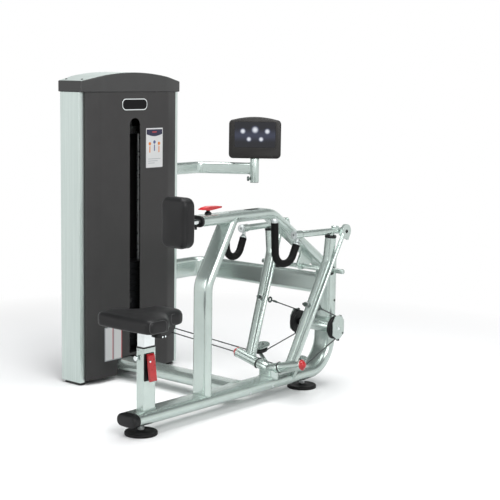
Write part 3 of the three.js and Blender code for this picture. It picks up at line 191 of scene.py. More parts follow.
# %% Bare metals
aluminium = finish(
    "satin_anodised_aluminium", "#d5e0dc", "#c8d4d0", patch=9, grain=1.6, depth=0.02, stretch=(1, 1, 0.02),
    shader={"Roughness": 0.36, "Metallic": 0.75},
)
steel = finish(
    "zinc_plated_steel", "#c2c6c6", "#a9adad", patch=14, grain=2, depth=0.02,
    shader={"Roughness": 0.3, "Metallic": 0.95},
)
chrome = finish(
    "polished_chrome", "#e4e9e9", "#dae0e0", patch=40, grain=6, depth=0.002, spread=0.03,
    shader={"Roughness": 0.12, "Metallic": 1.0},
)
satin_chrome = finish(
    "satin_chrome_plate", "#cbd1d1", "#c0c7c7", patch=20, grain=2, depth=0.004, spread=0.03,
    shader={"Roughness": 0.34, "Metallic": 0.85},
)
dark_steel = finish(
    "oiled_steel", "#626c68", "#4e5754", patch=10, grain=2, depth=0.02,
    shader={"Roughness": 0.36, "Metallic": 0.9},
)
weld = finish(
    "painted_weld_bead", "#a9b7b1", "#93a29c", patch=6, grain=3, depth=0.5,
    shader={"Roughness": 0.42, "Metallic": 0.45},
)

# %% [markdown]
# The shroud is **textured polyester paint on sheet steel**, nearly black and slightly warm. The cap over it
# is **moulded ABS** with a fine spark-eroded texture, and its top carries a pale metallic film.

# %% Tower finishes
shroud_grey = finish(
    "textured_dark_paint", "#3a3939", "#353434", patch=120, grain=2.4, depth=0.05,
    shader={"Roughness": 0.5, "IOR": 1.45, "Specular IOR Level": 0.4, "Metallic": 0.0},
)
cap_grey = finish(
    "moulded_abs_grey", "#3a3a3a", "#353535", patch=90, grain=2.2, depth=0.04,
    shader={"Roughness": 0.45, "IOR": 1.5, "Metallic": 0.0},
)
black_paint = finish(
    "black_powder_coat", "#1c1c1c", "#151515", patch=50, grain=2.4, depth=0.05,
    shader={"Roughness": 0.5, "IOR": 1.5, "Metallic": 0.0},
)
plate_steel = finish(
    "cast_iron_black_enamel", "#1f2022", "#141516", patch=30, grain=3, depth=0.1,
    shader={"Roughness": 0.45, "IOR": 1.5, "Metallic": 0.2},
)

# %% [markdown]
# Soft and dark parts: **vinyl upholstery** with an embossed leather grain, whose cells are drawn three times
# their real size so that they show at all, **foam rubber** on the grips, **moulded rubber** on the feet,
# **glass-filled nylon** on pulleys and plugs, and the **nylon jacket** of the wire rope. **Red ABS** marks
# what a hand adjusts.

# %% Dark and coloured finishes
upholstery = finish(
    "embossed_vinyl", "#1b1b1c", "#151516", patch=70, grain=3.2, depth=0.12, cells=True,
    shader={"Roughness": 0.46, "IOR": 1.45, "Specular IOR Level": 0.35},
)
# A real piping cord, drawn a lighter grey than the vinyl: the extra lightness is a painted highlight along
# the seam's rounding.
piping_and_highlight = finish(
    "vinyl_piping_and_highlight", "#49494a", "#3c3c3d", patch=20, grain=2, depth=0.05,
    shader={"Roughness": 0.36, "IOR": 1.5},
)
foam_rubber = finish(
    "foam_rubber", "#0e0e0e", "#090909", patch=16, grain=1.8, depth=0.12,
    shader={"Roughness": 0.62, "IOR": 1.4, "Specular IOR Level": 0.2},
)
rubber = finish(
    "moulded_rubber", "#151515", "#0e0e0e", patch=25, grain=2, depth=0.08,
    shader={"Roughness": 0.6, "IOR": 1.45, "Specular IOR Level": 0.3},
)
nylon = finish(
    "glass_filled_nylon", "#171819", "#101112", patch=18, grain=2, depth=0.03,
    shader={"Roughness": 0.42, "IOR": 1.45, "Specular IOR Level": 0.35},
)
casing = finish(
    "console_abs", "#191715", "#141211", patch=60, grain=1.8, depth=0.02,
    shader={"Roughness": 0.4, "IOR": 1.5, "Specular IOR Level": 0.4},
)
jacket = finish(
    "nylon_cable_jacket", "#2a2d2e", "#1e2021", patch=8, grain=2, depth=0.2, stretch=(1, 1, 2),
    shader={"Roughness": 0.4, "IOR": 1.53},
)
red_plastic = finish(
    "red_abs", "#cf2028", "#b9151d", patch=25, grain=2.5, depth=0.02,
    shader={"Roughness": 0.3, "IOR": 1.53, "Coat Weight": 0.3, "Coat Roughness": 0.12},
)
print("finishes:", len(bpy.data.materials))

# %% [markdown]
# ## Shapes from numbers
# A shape here is only two lists: points in millimetres, and faces that name their points. A tube is an
# outline carried along a route, a knob is a profile turned about an axis, a plate is an outline given a
# thickness. Doing this in code keeps every piece exactly where the CAD has it, which moving things by hand
# would not.


# %% Routes
def at(x, y, z):
    return Vector((x, y, z))


def arc_steps(turn):
    """Enough steps that an arc looks round."""
    return max(4, math.ceil(math.degrees(abs(turn)) / 4))


def bent(corners, radius=0):
    """A route of straight runs with an arc at each inner corner, as (place, heading) pairs."""
    corners = [Vector(c) for c in corners]
    heading = lambda i: (corners[i + 1] - corners[i]).normalized()
    stations = [(corners[0], heading(0))]
    for i in range(1, len(corners) - 1):
        before, after = heading(i - 1), heading(i)
        turn, axis = before.angle(after), before.cross(after).normalized()
        start = corners[i] - before * radius * math.tan(turn / 2)
        stations += arc(start + axis.cross(before) * radius, axis, start, before, turn)
    return stations + [(corners[-1], heading(len(corners) - 2))]


def arc(centre, axis, start, heading, turn):
    steps = arc_steps(turn)
    turns = [Quaternion(axis, turn * i / steps) for i in range(steps + 1)]
    return [(centre + q @ (start - centre), q @ heading) for q in turns]


print("a right-angled bend is drawn in", arc_steps(math.pi / 2), "steps")


# %% Outlines
def arc_points(radius, first, turn, steps, x=0, y=0):
    """Points on an arc about (x, y), from the angle first on, with both its ends."""
    angles = [first + turn * i / steps for i in range(steps + 1)]
    return [(x + radius * math.cos(a), y + radius * math.sin(a)) for a in angles]


def oval(thickness, across, grow=0, steps=12):
    """A flat-oval outline; across runs along the route's side direction."""
    half, reach = min(thickness, across) / 2 + grow, abs(across - thickness) / 2
    points = arc_points(half, 0, math.pi, steps, 0, reach)
    points += arc_points(half, math.pi, math.pi, steps, 0, -reach)
    return points if across >= thickness else [(y, -x) for x, y in points]


def rounded(width, height, radius, grow=0, steps=6):
    """A rectangle with round corners, counter-clockwise round its middle."""
    points = []
    for k, (sx, sy) in enumerate(((1, 1), (-1, 1), (-1, -1), (1, -1))):
        x, y = sx * (width / 2 - radius), sy * (height / 2 - radius)
        points += arc_points(radius + grow, math.pi / 2 * k, math.pi / 2, steps, x, y)
    return points


def ring(radius, sides=32):
    return arc_points(radius, 0, 2 * math.pi, sides)[:-1]


def rounded_corners(corners, steps=8):
    """An outline through corners that each have their own radius: (x, y, radius)."""
    outline = []
    for i, (x, y, radius) in enumerate(corners):
        corner, last = Vector((x, y)), Vector(corners[i - 1][:2])
        after = (Vector(corners[(i + 1) % len(corners)][:2]) - corner).normalized()
        before = (corner - last).normalized()
        turn = math.atan2(before.x * after.y - before.y * after.x, before.dot(after))
        start = corner - before * radius * math.tan(abs(turn) / 2)
        centre = start + Vector((-before.y, before.x)) * math.copysign(radius, turn)
        for k in range(steps + 1):
            spin = Matrix.Rotation(turn * k / steps, 2)
            outline.append(tuple(centre + spin @ (start - centre)))
    return outline


print("a flat-oval outline has", len(oval(60, 120)), "points")


# %% Solids
def loft(rings):
    """Rings of points joined one to the next, with a face over each end."""
    count = len(rings[0])
    points, faces = [p for r in rings for p in r], []
    for k in range(len(rings) - 1):
        for i in range(count):
            j = (i + 1) % count
            faces.append((k * count + i, k * count + j, (k + 1) * count + j, (k + 1) * count + i))
    return points, faces + [tuple(reversed(range(count))), tuple(range(len(points) - count, len(points)))]


def sweep(outline, stations, side):
    """An outline carried along a route; side is its second direction, kept square to the route."""
    rings, side = [], Vector(side)
    for place, heading in stations:
        side = (side - heading * side.dot(heading)).normalized()
        normal = side.cross(heading)
        rings.append([place + normal * n + side * s for n, s in outline])
    return loft(rings)


def basis(axis):
    """Two directions square to an axis."""
    first = axis.cross(X if abs(axis.x) < 0.9 else Y).normalized()
    return first, axis.cross(first).normalized()


def turned(profile, foot, axis, sides=48):
    """A profile of (radius, distance) turned about an axis. It is closed where it meets the axis."""
    axis = Vector(axis).normalized()
    right, up = basis(axis)
    points, faces, rows = [], [], []
    for radius, distance in profile:
        rows.append(list(range(len(points), len(points) + (sides if radius > 0 else 1))))
        for i in range(sides if radius > 0 else 1):
            angle = 2 * math.pi * i / sides
            points.append(foot + axis * distance + (right * math.cos(angle) + up * math.sin(angle)) * radius)
    for low, high in zip(rows, rows[1:]):
        for i in range(sides):
            j = (i + 1) % sides
            a, b, c, d = low[i % len(low)], low[j % len(low)], high[j % len(high)], high[i % len(high)]
            face = tuple(dict.fromkeys((a, b, c, d)))
            if len(face) > 2:
                faces.append(face)
    return points, faces


def rod(foot, head, radius, edge=1.0, sides=48):
    """A round bar with its end edges broken by a small round."""
    length = (head - foot).length
    profile = [(0, 0), (radius - edge, 0), (radius - edge * 0.3, edge * 0.3), (radius, edge)]
    profile += [(reach, length - along) for reach, along in reversed(profile)]
    return turned(profile, foot, head - foot, sides)


def slab(outline, thickness, corner, right, up, holes=()):
    """A plate: an outline along two directions from a corner, thick along their cross product."""
    out = right.cross(up) * thickness
    loops = [list(outline), *[list(h) for h in holes]]
    flat = [p for loop in loops for p in loop]
    points = [corner + right * x + up * y for x, y in flat]
    points += [p + out for p in points]
    count, faces, first = len(flat), [], 0
    if holes:
        tiles = tessellate_polygon([[Vector((x, y, 0)) for x, y in loop] for loop in loops])
        faces += [tuple(t) for t in tiles] + [tuple(i + count for i in reversed(t)) for t in tiles]
    else:
        faces += [tuple(reversed(range(count))), tuple(range(count, 2 * count))]
    for loop in loops:
        for i in range(len(loop)):
            a, b = first + i, first + (i + 1) % len(loop)
            faces.append((a, b, b + count, a + count))
        first += len(loop)
    return points, faces


def box(x0, x1, y0, y1, z0, z1):
    """A block between two values of x, of y and of z."""
    return slab([(x0, y0), (x1, y0), (x1, y1), (x0, y1)], z1 - z0, at(0, 0, z0), X, Y)


def mirrored(shape):
    """The same shape on the other side of the machine."""
    points, faces = shape
    return [at(p.x, -p.y, p.z) for p in points], [tuple(reversed(f)) for f in faces]


print("a round bar has", len(rod(Z, Z * 9, 3)[1]), "faces")

# %% [markdown]
# ## From shapes to pieces
# A piece gathers shapes that are fixed to each other, each with its finish, and becomes one object that rides
# on a CAD body. Its faces are shaded smooth and only edges sharper than an angle stay sharp. A Bevel modifier
# breaks those edges, because no real edge is perfectly sharp and the thin highlight along it is what the eye
# looks for.


# %% The Piece class
class Piece:
    def __init__(self, name):
        self.name, self.points, self.faces, self.finishes, self.which = name, [], [], [], []

    def add(self, shape, material):
        points, faces = shape
        first = len(self.points)
        if material not in self.finishes:
            self.finishes.append(material)
        self.points += points
        self.faces += [tuple(first + i for i in face) for face in faces]
        self.which += [self.finishes.index(material)] * len(faces)
        return self

    def place(self, body, slot, stands_for=(), sharp=30, edge=0, edge_steps=2):
        """Makes the object, rides it on a body and hides the CAD nodes that it stands for."""
        mesh = bpy.data.meshes.new(self.name)
        mesh.from_pydata([p * MM for p in self.points], [], self.faces)
        for material in self.finishes:
            mesh.materials.append(material)
        mesh.polygons.foreach_set("material_index", self.which)
        edit = bmesh.new()
        edit.from_mesh(mesh)
        bmesh.ops.recalc_face_normals(edit, faces=edit.faces)
        edit.to_mesh(mesh)
        edit.free()
        mesh.shade_smooth()
        mesh.set_sharp_from_angle(angle=math.radians(sharp))
        thing = bpy.data.objects.new(self.name, mesh)
        bpy.context.scene.collection.objects.link(thing)
        if edge:
            soften(thing, edge, sharp, edge_steps)
        if body:
            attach(thing, body)
            print(self.name, "rides on", body, "with", len(self.faces), "faces")
        if stands_for:
            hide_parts(*stands_for)
        return thing


def soften(thing, width, sharp=30, steps=2):
    """Breaks an object's sharp edges with a Bevel modifier of that width in millimetres."""
    bevel = thing.modifiers.new("broken_edges", "BEVEL")
    bevel.width, bevel.segments, bevel.limit_method = width * MM, steps, "ANGLE"
    bevel.angle_limit, bevel.harden_normals, bevel.miter_outer = math.radians(sharp), True, "MITER_ARC"
    return thing


def settle(thing):
    """Works an object's modifiers into its mesh."""
    seen = thing.evaluated_get(bpy.context.evaluated_depsgraph_get())
    mesh = bpy.data.meshes.new_from_object(seen)
    thing.modifiers.clear()
    thing.data = mesh
    return thing


def carve(thing, *shapes):
    """Cuts shapes out of an object with Boolean modifiers, then takes the cutters away."""
    for shape in shapes:
        cutter = Piece("cutter").add(shape, thing.data.materials[0]).place(None, "steel")
        cutting = thing.modifiers.new("cut", "BOOLEAN")
        cutting.object, cutting.operation, cutting.solver = cutter, "DIFFERENCE", "EXACT"
        bpy.context.view_layer.update()
        settle(thing)
        bpy.data.objects.remove(cutter)
    return thing


# %% [markdown]
# Small fasteners are all alike: a washer, a head and sometimes a socket in it. They are turned too, with six
# sides where the real one is a hexagon.


# %% Fasteners
def hex_head(foot, axis, across=16, height=8):
    radius = across / math.sqrt(3)
    profile = [(0, 0), (radius, 0), (radius, height - 1.2), (radius - 1.2, height), (0, height)]
    return turned(profile, foot, axis, 6)


def washer(foot, axis, radius=12, height=2):
    profile = [(0, 0), (radius - 0.5, 0), (radius, 0.5)]
    profile += [(reach, height - along) for reach, along in reversed(profile)]
    return turned(profile, foot, axis, 32)


def button(foot, axis, radius=8, height=5, socket=3.2):
    """A domed head with a round socket."""
    dome = [(radius * math.cos(a), 0.8 + (height - 0.8) * math.sin(a)) for a in (0, 0.4, 0.8, 1.1)]
    profile = [(0, 0), (radius, 0), *dome, (socket, height), (socket - 0.3, height - 2), (0, height - 2)]
    return turned(profile, foot, axis, 32)


def bead(path, radius=2.6, sides=8):
    """A closed weld bead or piping cord along points. Its section is carried from point to point without
    turning, and what is left to turn where it closes is shared out along it."""
    count = len(path)
    headings = [(path[(i + 1) % count] - path[i - 1]).normalized() for i in range(count)]
    rights = [basis(headings[0])[0]]
    for i in range(count):
        rights.append(headings[i].rotation_difference(headings[(i + 1) % count]) @ rights[-1])
    left_over = math.atan2(rights[-1].cross(rights[0]).dot(headings[0]), rights[-1].dot(rights[0]))
    points, faces = [], []
    for i, p in enumerate(path):
        right = Quaternion(headings[i], left_over * i / count) @ rights[i]
        up = headings[i].cross(right)
        angles = [2 * math.pi * k / sides for k in range(sides)]
        points += [p + (right * math.cos(a) + up * math.sin(a)) * radius for a in angles]
    for i in range(count):
        here, there = i * sides, (i + 1) % count * sides
        for k in range(sides):
            j = (k + 1) % sides
            faces.append((here + k, here + j, there + j, there + k))
    return points, faces


# %% [markdown]
# ## The frame tubes
# The frame is flat-oval steel tube, bent cold on a former and welded. Each tube could be a curve object with
# a bevel profile, but the joints need weld beads that follow where two tubes meet, so the same numbers that
# carry the outline along its route also give that line: each outline point is moved along its tube until it
# meets the other.

# %% Main rail
RAIL_HEIGHT, RAIL_WIDTH, RAIL_LIFT, RAIL_BEND = 60, 120, 80, 170
RAIL_FRONT, UPRIGHT_X, UPRIGHT_TOP = -60, 1353, 656
RAIL_SCREWS, RAIL_SCREW_LIFT, UPRIGHT_SCREW_LIFT = (687, 859), 71, 440
rail_section = oval(RAIL_HEIGHT, RAIL_WIDTH)
rail_route = bent(
    [(RAIL_FRONT, 0, RAIL_LIFT), (UPRIGHT_X, 0, RAIL_LIFT), (UPRIGHT_X, 0, UPRIGHT_TOP)], RAIL_BEND
)


def oval_reach(off, thickness, across):
    """How far a flat-oval's skin is from its middle plane, at a distance off its centre line."""
    past = max(0, abs(off) - abs(across - thickness) / 2)
    return math.sqrt(max(0, (thickness / 2) ** 2 - past * past))


def rail_top(y):
    return RAIL_LIFT + oval_reach(y, RAIL_HEIGHT, RAIL_WIDTH)


main_rail = Piece("main_rail_tube").add(sweep(rail_section, rail_route, Y), silver_paint)
for x in RAIL_SCREWS:
    main_rail.add(button(at(x, 0.6 - RAIL_WIDTH / 2, RAIL_SCREW_LIFT), -Y, 6.5, 4, 2.4), chrome)
main_rail.add(button(at(UPRIGHT_X, 0.4 - RAIL_WIDTH / 2, UPRIGHT_SCREW_LIFT), -Y, 6, 3, 2.4), nylon)
main_rail.place("frame", "silver_paint", ["main_rail"])

upright_plug = []
for grow, lift in ((0.6, 0), (0.8, 1.5), (0.2, 3), (-1.5, 4)):
    section = oval(RAIL_HEIGHT, RAIL_WIDTH, grow)
    upright_plug.append([at(UPRIGHT_X + n, s, UPRIGHT_TOP + lift) for n, s in section])
Piece("upright_plug").add(loft(upright_plug), nylon).place("frame", "nylon")

# %% [markdown]
# The plug in the rail's front end is one nylon moulding with a big soft edge. It is built as rings: the same
# oval, drawn in along a quarter circle.

# %% Front plug and feet
CAP_LENGTH, CAP_ROUND, CAP_STEPS, REAR_FOOT_X = 40, 14, 8, 1166
plug_rings = [[at(RAIL_FRONT - 0.3, s, RAIL_LIFT + n) for n, s in oval(RAIL_HEIGHT, RAIL_WIDTH)]]
for i in range(CAP_STEPS + 1):
    angle = math.pi / 2 * i / CAP_STEPS
    x = RAIL_FRONT - CAP_LENGTH + CAP_ROUND * (1 - math.sin(angle))
    grow = -CAP_ROUND * (1 - math.cos(angle))
    plug_rings.append([at(x, s, RAIL_LIFT + n) for n, s in oval(RAIL_HEIGHT, RAIL_WIDTH, grow)])
Piece("rail_front_plug").add(loft(plug_rings), nylon).place("frame", "nylon", ["rail_front_cap"], sharp=40)

foot_profile = [
    (0, 0), (70, 0), (73.5, 1), (75, 3.5), (75, 12), (73.8, 15), (71, 16.6), (66, 17), (64, 16.2), (34, 16.2),
    (31, 17), (22, 18.5), (18, 21), (0, 21),
]
boss_profiles = {
    "front": [(0, 0), (15, 0), (16, 9.6), (0, 9.6)],
    "rear": [(0, 0), (16, 0), (27, 6), (27, 9.6), (0, 9.6)],
}
for name, x in (("front", 0), ("rear", REAR_FOOT_X)):
    foot = Piece("levelling_foot_" + name).add(turned(foot_profile, at(x, 0, 0), Z, 72), rubber)
    foot.add(rod(at(x, 0, 20), at(x, 0, 49.5), 9, 0.5), steel)
    foot.add(hex_head(at(x, 0, 23), Z, 27, 9), steel)
    foot.add(turned(boss_profiles[name], at(x, 0, 40), Z, 40), silver_paint)
    foot.place("frame", "rubber", ["foot_" + name], sharp=35)

# %% Upper rail and front post
POST_DEPTH, POST_WIDTH, POST_X, POST_KNEE = 50, 100, 403, 630
UPPER_LIFT, UPPER_FRONT, UPPER_KNEE_X = 932, 356, 865
STICKER_X, LUG_X = 747, 992
LEAN, SLOPE = math.radians(31), math.radians(34.1)
POST_BEND, UPPER_BEND = 120, 150
upper_centre = lambda x: UPPER_LIFT - max(0, x - UPPER_KNEE_X) * math.tan(SLOPE)
upper_route = bent(
    [(UPPER_FRONT, 0, UPPER_LIFT), (UPPER_KNEE_X, 0, UPPER_LIFT), (UPRIGHT_X, 0, upper_centre(UPRIGHT_X))],
    UPPER_BEND,
)
post_top_x = POST_X + (UPPER_LIFT - POST_KNEE) * math.tan(LEAN)
post_route = bent([(POST_X, 0, RAIL_LIFT), (POST_X, 0, POST_KNEE), (post_top_x, 0, UPPER_LIFT)], POST_BEND)
post_section = oval(POST_DEPTH, POST_WIDTH)
upper_tube = Piece("upper_rail_tube").add(sweep(post_section, upper_route, Y), silver_paint)
upper_tube.add(slab(rounded(90, 30, 6), 1.6, at(STICKER_X, 0, UPPER_LIFT + 24.4), X, Y), nylon)
across_slope = at(math.sin(SLOPE), 0, math.cos(SLOPE))
lug_foot = at(LUG_X, 0, upper_centre(LUG_X)) + across_slope * 24
lug_profile = [(0, 0), (9, 0), (9, 6), (6.5, 8), (6.5, 20), (11, 23), (11, 29), (8, 32), (0, 32)]
upper_tube.add(turned(lug_profile, lug_foot, across_slope, 32), silver_paint)
upper_tube.place("frame", "silver_paint", ["upper_rail"])
front_post = Piece("front_post_tube").add(sweep(post_section, post_route, Y), silver_paint)
front_post.place("frame", "silver_paint", ["front_post"])

post_leaning = lambda z: POST_X + (z - POST_KNEE) * math.tan(LEAN)
under_upper = lambda y: UPPER_LIFT - oval_reach(y, POST_DEPTH, POST_WIDTH)
upright_face = lambda y: UPRIGHT_X - oval_reach(y, RAIL_HEIGHT, RAIL_WIDTH)
welds = Piece("frame_welds")
fine_section = oval(POST_DEPTH, POST_WIDTH, 1.5, 16)
welds.add(bead([at(POST_X + n, s, rail_top(s)) for n, s in fine_section]), weld)
top_seam = [at(post_leaning(under_upper(s)) + n / math.cos(LEAN), s, under_upper(s)) for n, s in fine_section]
welds.add(bead(top_seam), weld)
rear_seam = [
    at(upright_face(s), s, upper_centre(upright_face(s)) + n / math.cos(SLOPE)) for n, s in fine_section
]
welds.add(bead(rear_seam), weld)

# %% [markdown]
# Two members tie the frame to the weight tower: a low cross rail and a brace that runs out of the tower and
# turns round to the upright.

# %% Cross rail and tower brace
CROSS_X, TOWER_REAR_X, BOOM_STUB_Y = 685, 1101, 890
BRACE_DEPTH, BRACE_HEIGHT, BRACE_LIFT, BRACE_BEND = 50, 110, 520, 90
cross_route = bent([(CROSS_X, 30, RAIL_LIFT), (CROSS_X, 972, RAIL_LIFT)])
cross_rail = Piece("cross_rail_tube").add(sweep(rail_section, cross_route, X), silver_paint)
cross_rail.place("frame", "silver_paint", ["cross_rail"])
brace_corners = [
    (TOWER_REAR_X, BOOM_STUB_Y, BRACE_LIFT), (UPRIGHT_X, BOOM_STUB_Y, BRACE_LIFT), (UPRIGHT_X, 0, BRACE_LIFT)
]
brace_section = oval(BRACE_DEPTH, BRACE_HEIGHT)
brace = Piece("tower_brace_tube").add(sweep(brace_section, bent(brace_corners, BRACE_BEND), Z), silver_paint)
brace.place("frame", "silver_paint", ["tower_brace"])
side_reach = lambda off: (RAIL_WIDTH - RAIL_HEIGHT) / 2 + oval_reach(off, RAIL_HEIGHT, RAIL_HEIGHT)
cross_seam = [
    at(CROSS_X + s, side_reach(n), RAIL_LIFT + n) for n, s in oval(RAIL_HEIGHT, RAIL_WIDTH, -0.5, 16)
]
brace_seam = [
    at(UPRIGHT_X + n, side_reach(n), BRACE_LIFT + s) for n, s in oval(BRACE_DEPTH, BRACE_HEIGHT, 1, 16)
]
welds.add(bead(cross_seam), weld).add(bead(brace_seam), weld)

# %% [markdown]
# ## Stop bar
# A round bar carries two rubber sleeves that the arms rest against. A gusset plate hangs it from the sloping
# rail. The sleeves are just so thick that a hair of air is left to the resting arms.

# %% Stop bar
STOP_X, STOP_DROP, STOP_RADIUS, STOP_REACH, GUSSET = 1150, 103, 12, 260, 12
ARM_DEPTH, ARM_WIDTH, ARM_BEND, SLEEVE_AIR = 40, 60, 110, 0.6
stop_lift = upper_centre(STOP_X) - STOP_DROP
gusset_outline = [
    (STOP_X - 50, stop_lift + 6),
    (STOP_X - 22, stop_lift - 16),
    (STOP_X + 22, stop_lift - 16),
    (STOP_X + 105, upper_centre(STOP_X + 105) + 4),
    (STOP_X, upper_centre(STOP_X)),
]
stop = Piece("stop_bar_round").add(slab(gusset_outline, GUSSET, at(0, GUSSET / 2, 0), X, Z), silver_paint)
stop.add(
    rod(at(STOP_X, -STOP_REACH, stop_lift), at(STOP_X, STOP_REACH, stop_lift), STOP_RADIUS, 1.5), silver_paint
)
stop.place("frame", "silver_paint", ["stop_bar"], edge=1.2)
for side in (-1, 1):
    welds.add(
        bead([at(STOP_X + x, side * 6.5, stop_lift + z) for x, z in ring(STOP_RADIUS + 1, 24)], 2), weld
    )
welds.place("frame", "silver_paint", sharp=60)

arm_root, arm_knee, arm_top = at(908, 130.5, 190), at(1126, 184, 696), at(1126, 193, 804)
run = arm_knee - arm_root
off = at(STOP_X, 0, stop_lift) - arm_root
BUMPER_RADIUS = (off.x * run.z - off.z * run.x) / math.hypot(run.x, run.z) - ARM_DEPTH / 2 - SLEEVE_AIR
BUMPER_MIDDLE, BUMPER_LENGTH = 170, 40


def sides():
    """The left side as it is and the right side mirrored, with the word for each."""
    return (("left", lambda shape: shape), ("right", mirrored))


for name, turn in sides():
    low = BUMPER_MIDDLE - BUMPER_LENGTH / 2
    profile = [(STOP_RADIUS + 0.3, 0), (BUMPER_RADIUS - 2, 0), (BUMPER_RADIUS, 2)]
    profile += [(radius, BUMPER_LENGTH - along) for radius, along in reversed(profile)]
    sleeve = turned(profile + profile[:1], at(STOP_X, low, stop_lift), Y, 40)
    Piece("stop_sleeve_" + name).add(turn(sleeve), rubber).place("frame", "rubber", ["stop_bumper_" + name])
print("stop sleeves", round(BUMPER_RADIUS, 1), "mm")

# %% [markdown]
# ## Arm pivot
# A short post carries two stub axles that are canted, so the arms spread as they come back. Each arm ends in
# a hub sleeve with a collar at both ends, and a red plug closes it.

# %% Pivot post
PIVOT_X, PIVOT_SEAM, PIVOT_SEAM_LIFT, PIVOT_END = 896, 72, 163, 207
PIVOT_DEPTH, PIVOT_LENGTH, PIVOT_TUBE, PIVOT_AXLE, CANT = 60, 110, 25, 15, math.radians(14.1)
pivot_at = lambda y: at(PIVOT_X, y, PIVOT_SEAM_LIFT + (abs(y) - PIVOT_SEAM) * math.tan(CANT))
hub_axis = (pivot_at(PIVOT_END) - pivot_at(PIVOT_SEAM)).normalized()
pivot_route = bent([(PIVOT_X, 0, RAIL_LIFT), pivot_at(0)])
pivot = Piece("pivot_post_tube").add(sweep(oval(PIVOT_DEPTH, PIVOT_LENGTH), pivot_route, Y), silver_paint)
for name, turn in sides():
    tube = rod(pivot_at(0), pivot_at(PIVOT_SEAM) - hub_axis * 4, PIVOT_TUBE, 1.5)
    pivot.add(turn(tube), silver_paint)
    flange = [(15.5, 0), (28.2, 0), (28.8, 0.6), (28.8, 2.6), (28.2, 3.2), (15.5, 3.2)]
    pivot.add(turn(turned(flange + flange[:1], pivot_at(PIVOT_SEAM) - hub_axis * 3.8, hub_axis, 56)), nylon)
    pivot.add(turn(rod(pivot_at(0), pivot_at(PIVOT_END - 30), PIVOT_AXLE, 1)), steel)
pivot.add(bead([at(PIVOT_X + n, s, rail_top(s)) for n, s in oval(PIVOT_DEPTH, PIVOT_LENGTH, 1.5, 16)]), weld)
pivot.place("frame", "silver_paint", ["pivot_post"])

# %% [markdown]
# ## Arms
# Each arm is a flat-oval tube welded to its hub sleeve. The line of the weld is found as before, here where
# the arm's outline meets a round tube: that is a square equation for each outline point.


# %% Arms
def weld_on_tube(outline, start, heading, side, foot, axis, radius):
    """Where lines through an outline, along a heading, last meet a round tube about an axis."""
    normal, path = side.cross(heading), []
    for n, s in outline:
        p = start + normal * n + side * s - foot
        across, going = p - axis * p.dot(axis), heading - axis * heading.dot(axis)
        a, b, c = going.dot(going), 2 * across.dot(going), across.dot(across) - radius * radius
        path.append(p + foot + heading * ((-b + math.sqrt(max(0, b * b - 4 * a * c))) / (2 * a)))
    return path


hub_length = (pivot_at(PIVOT_END) - pivot_at(PIVOT_SEAM)).length
arm_route = bent([arm_root, arm_knee, arm_top], ARM_BEND)
first = arm_route[0][1]
arm_side = (Y - first * Y.dot(first)).normalized()
hub_profile = [(15.5, 0.3), (25, 0.3), (26.2, 1.2), (26.2, 6), (25, 7)]
hub_end = [(25, 7), (26.4, 6), (26.4, 1), (25.4, 0), (15.5, 0)]
hub_profile += [(radius, hub_length - short) for radius, short in hub_end]
for name, turn in sides():
    arm = Piece("pull_arm_" + name).add(turn(sweep(oval(ARM_DEPTH, ARM_WIDTH), arm_route, Y)), silver_paint)
    arm.add(turn(turned(hub_profile + hub_profile[:1], pivot_at(PIVOT_SEAM), hub_axis, 56)), silver_paint)
    seam = weld_on_tube(
        oval(ARM_DEPTH, ARM_WIDTH, 1, 16), arm_root, first, arm_side, pivot_at(0), hub_axis, PIVOT_TUBE
    )
    arm.add(turn(bead(seam)), weld)
    arm.place("arm_" + name, "silver_paint", ["arm_" + name])
    dome = [(0, 0), (26, 0), (26.4, 0.6), (26.4, 2.2), (25.2, 3.6), (22.6, 5), (20.8, 7)]
    dome += [(19.6, 9.5), (18, 12.4), (15.2, 15.6), (10.6, 18.3), (5.4, 19.7), (0, 20)]
    plug = turned(dome, pivot_at(PIVOT_END) + hub_axis * 0.3, hub_axis, 56)
    red = Piece("hub_plug_" + name).add(turn(plug), red_plastic)
    red.place("arm_" + name, "red_plastic", ["hub_cap_" + name], sharp=50)

# %% [markdown]
# ## Handle bars, link rods and grips
# The bar lies across the top of the arm on a black bushing. Its front end carries a chromed disc and the
# swivelling collar of the grip. A thin black washer shows between the collar and the bar.

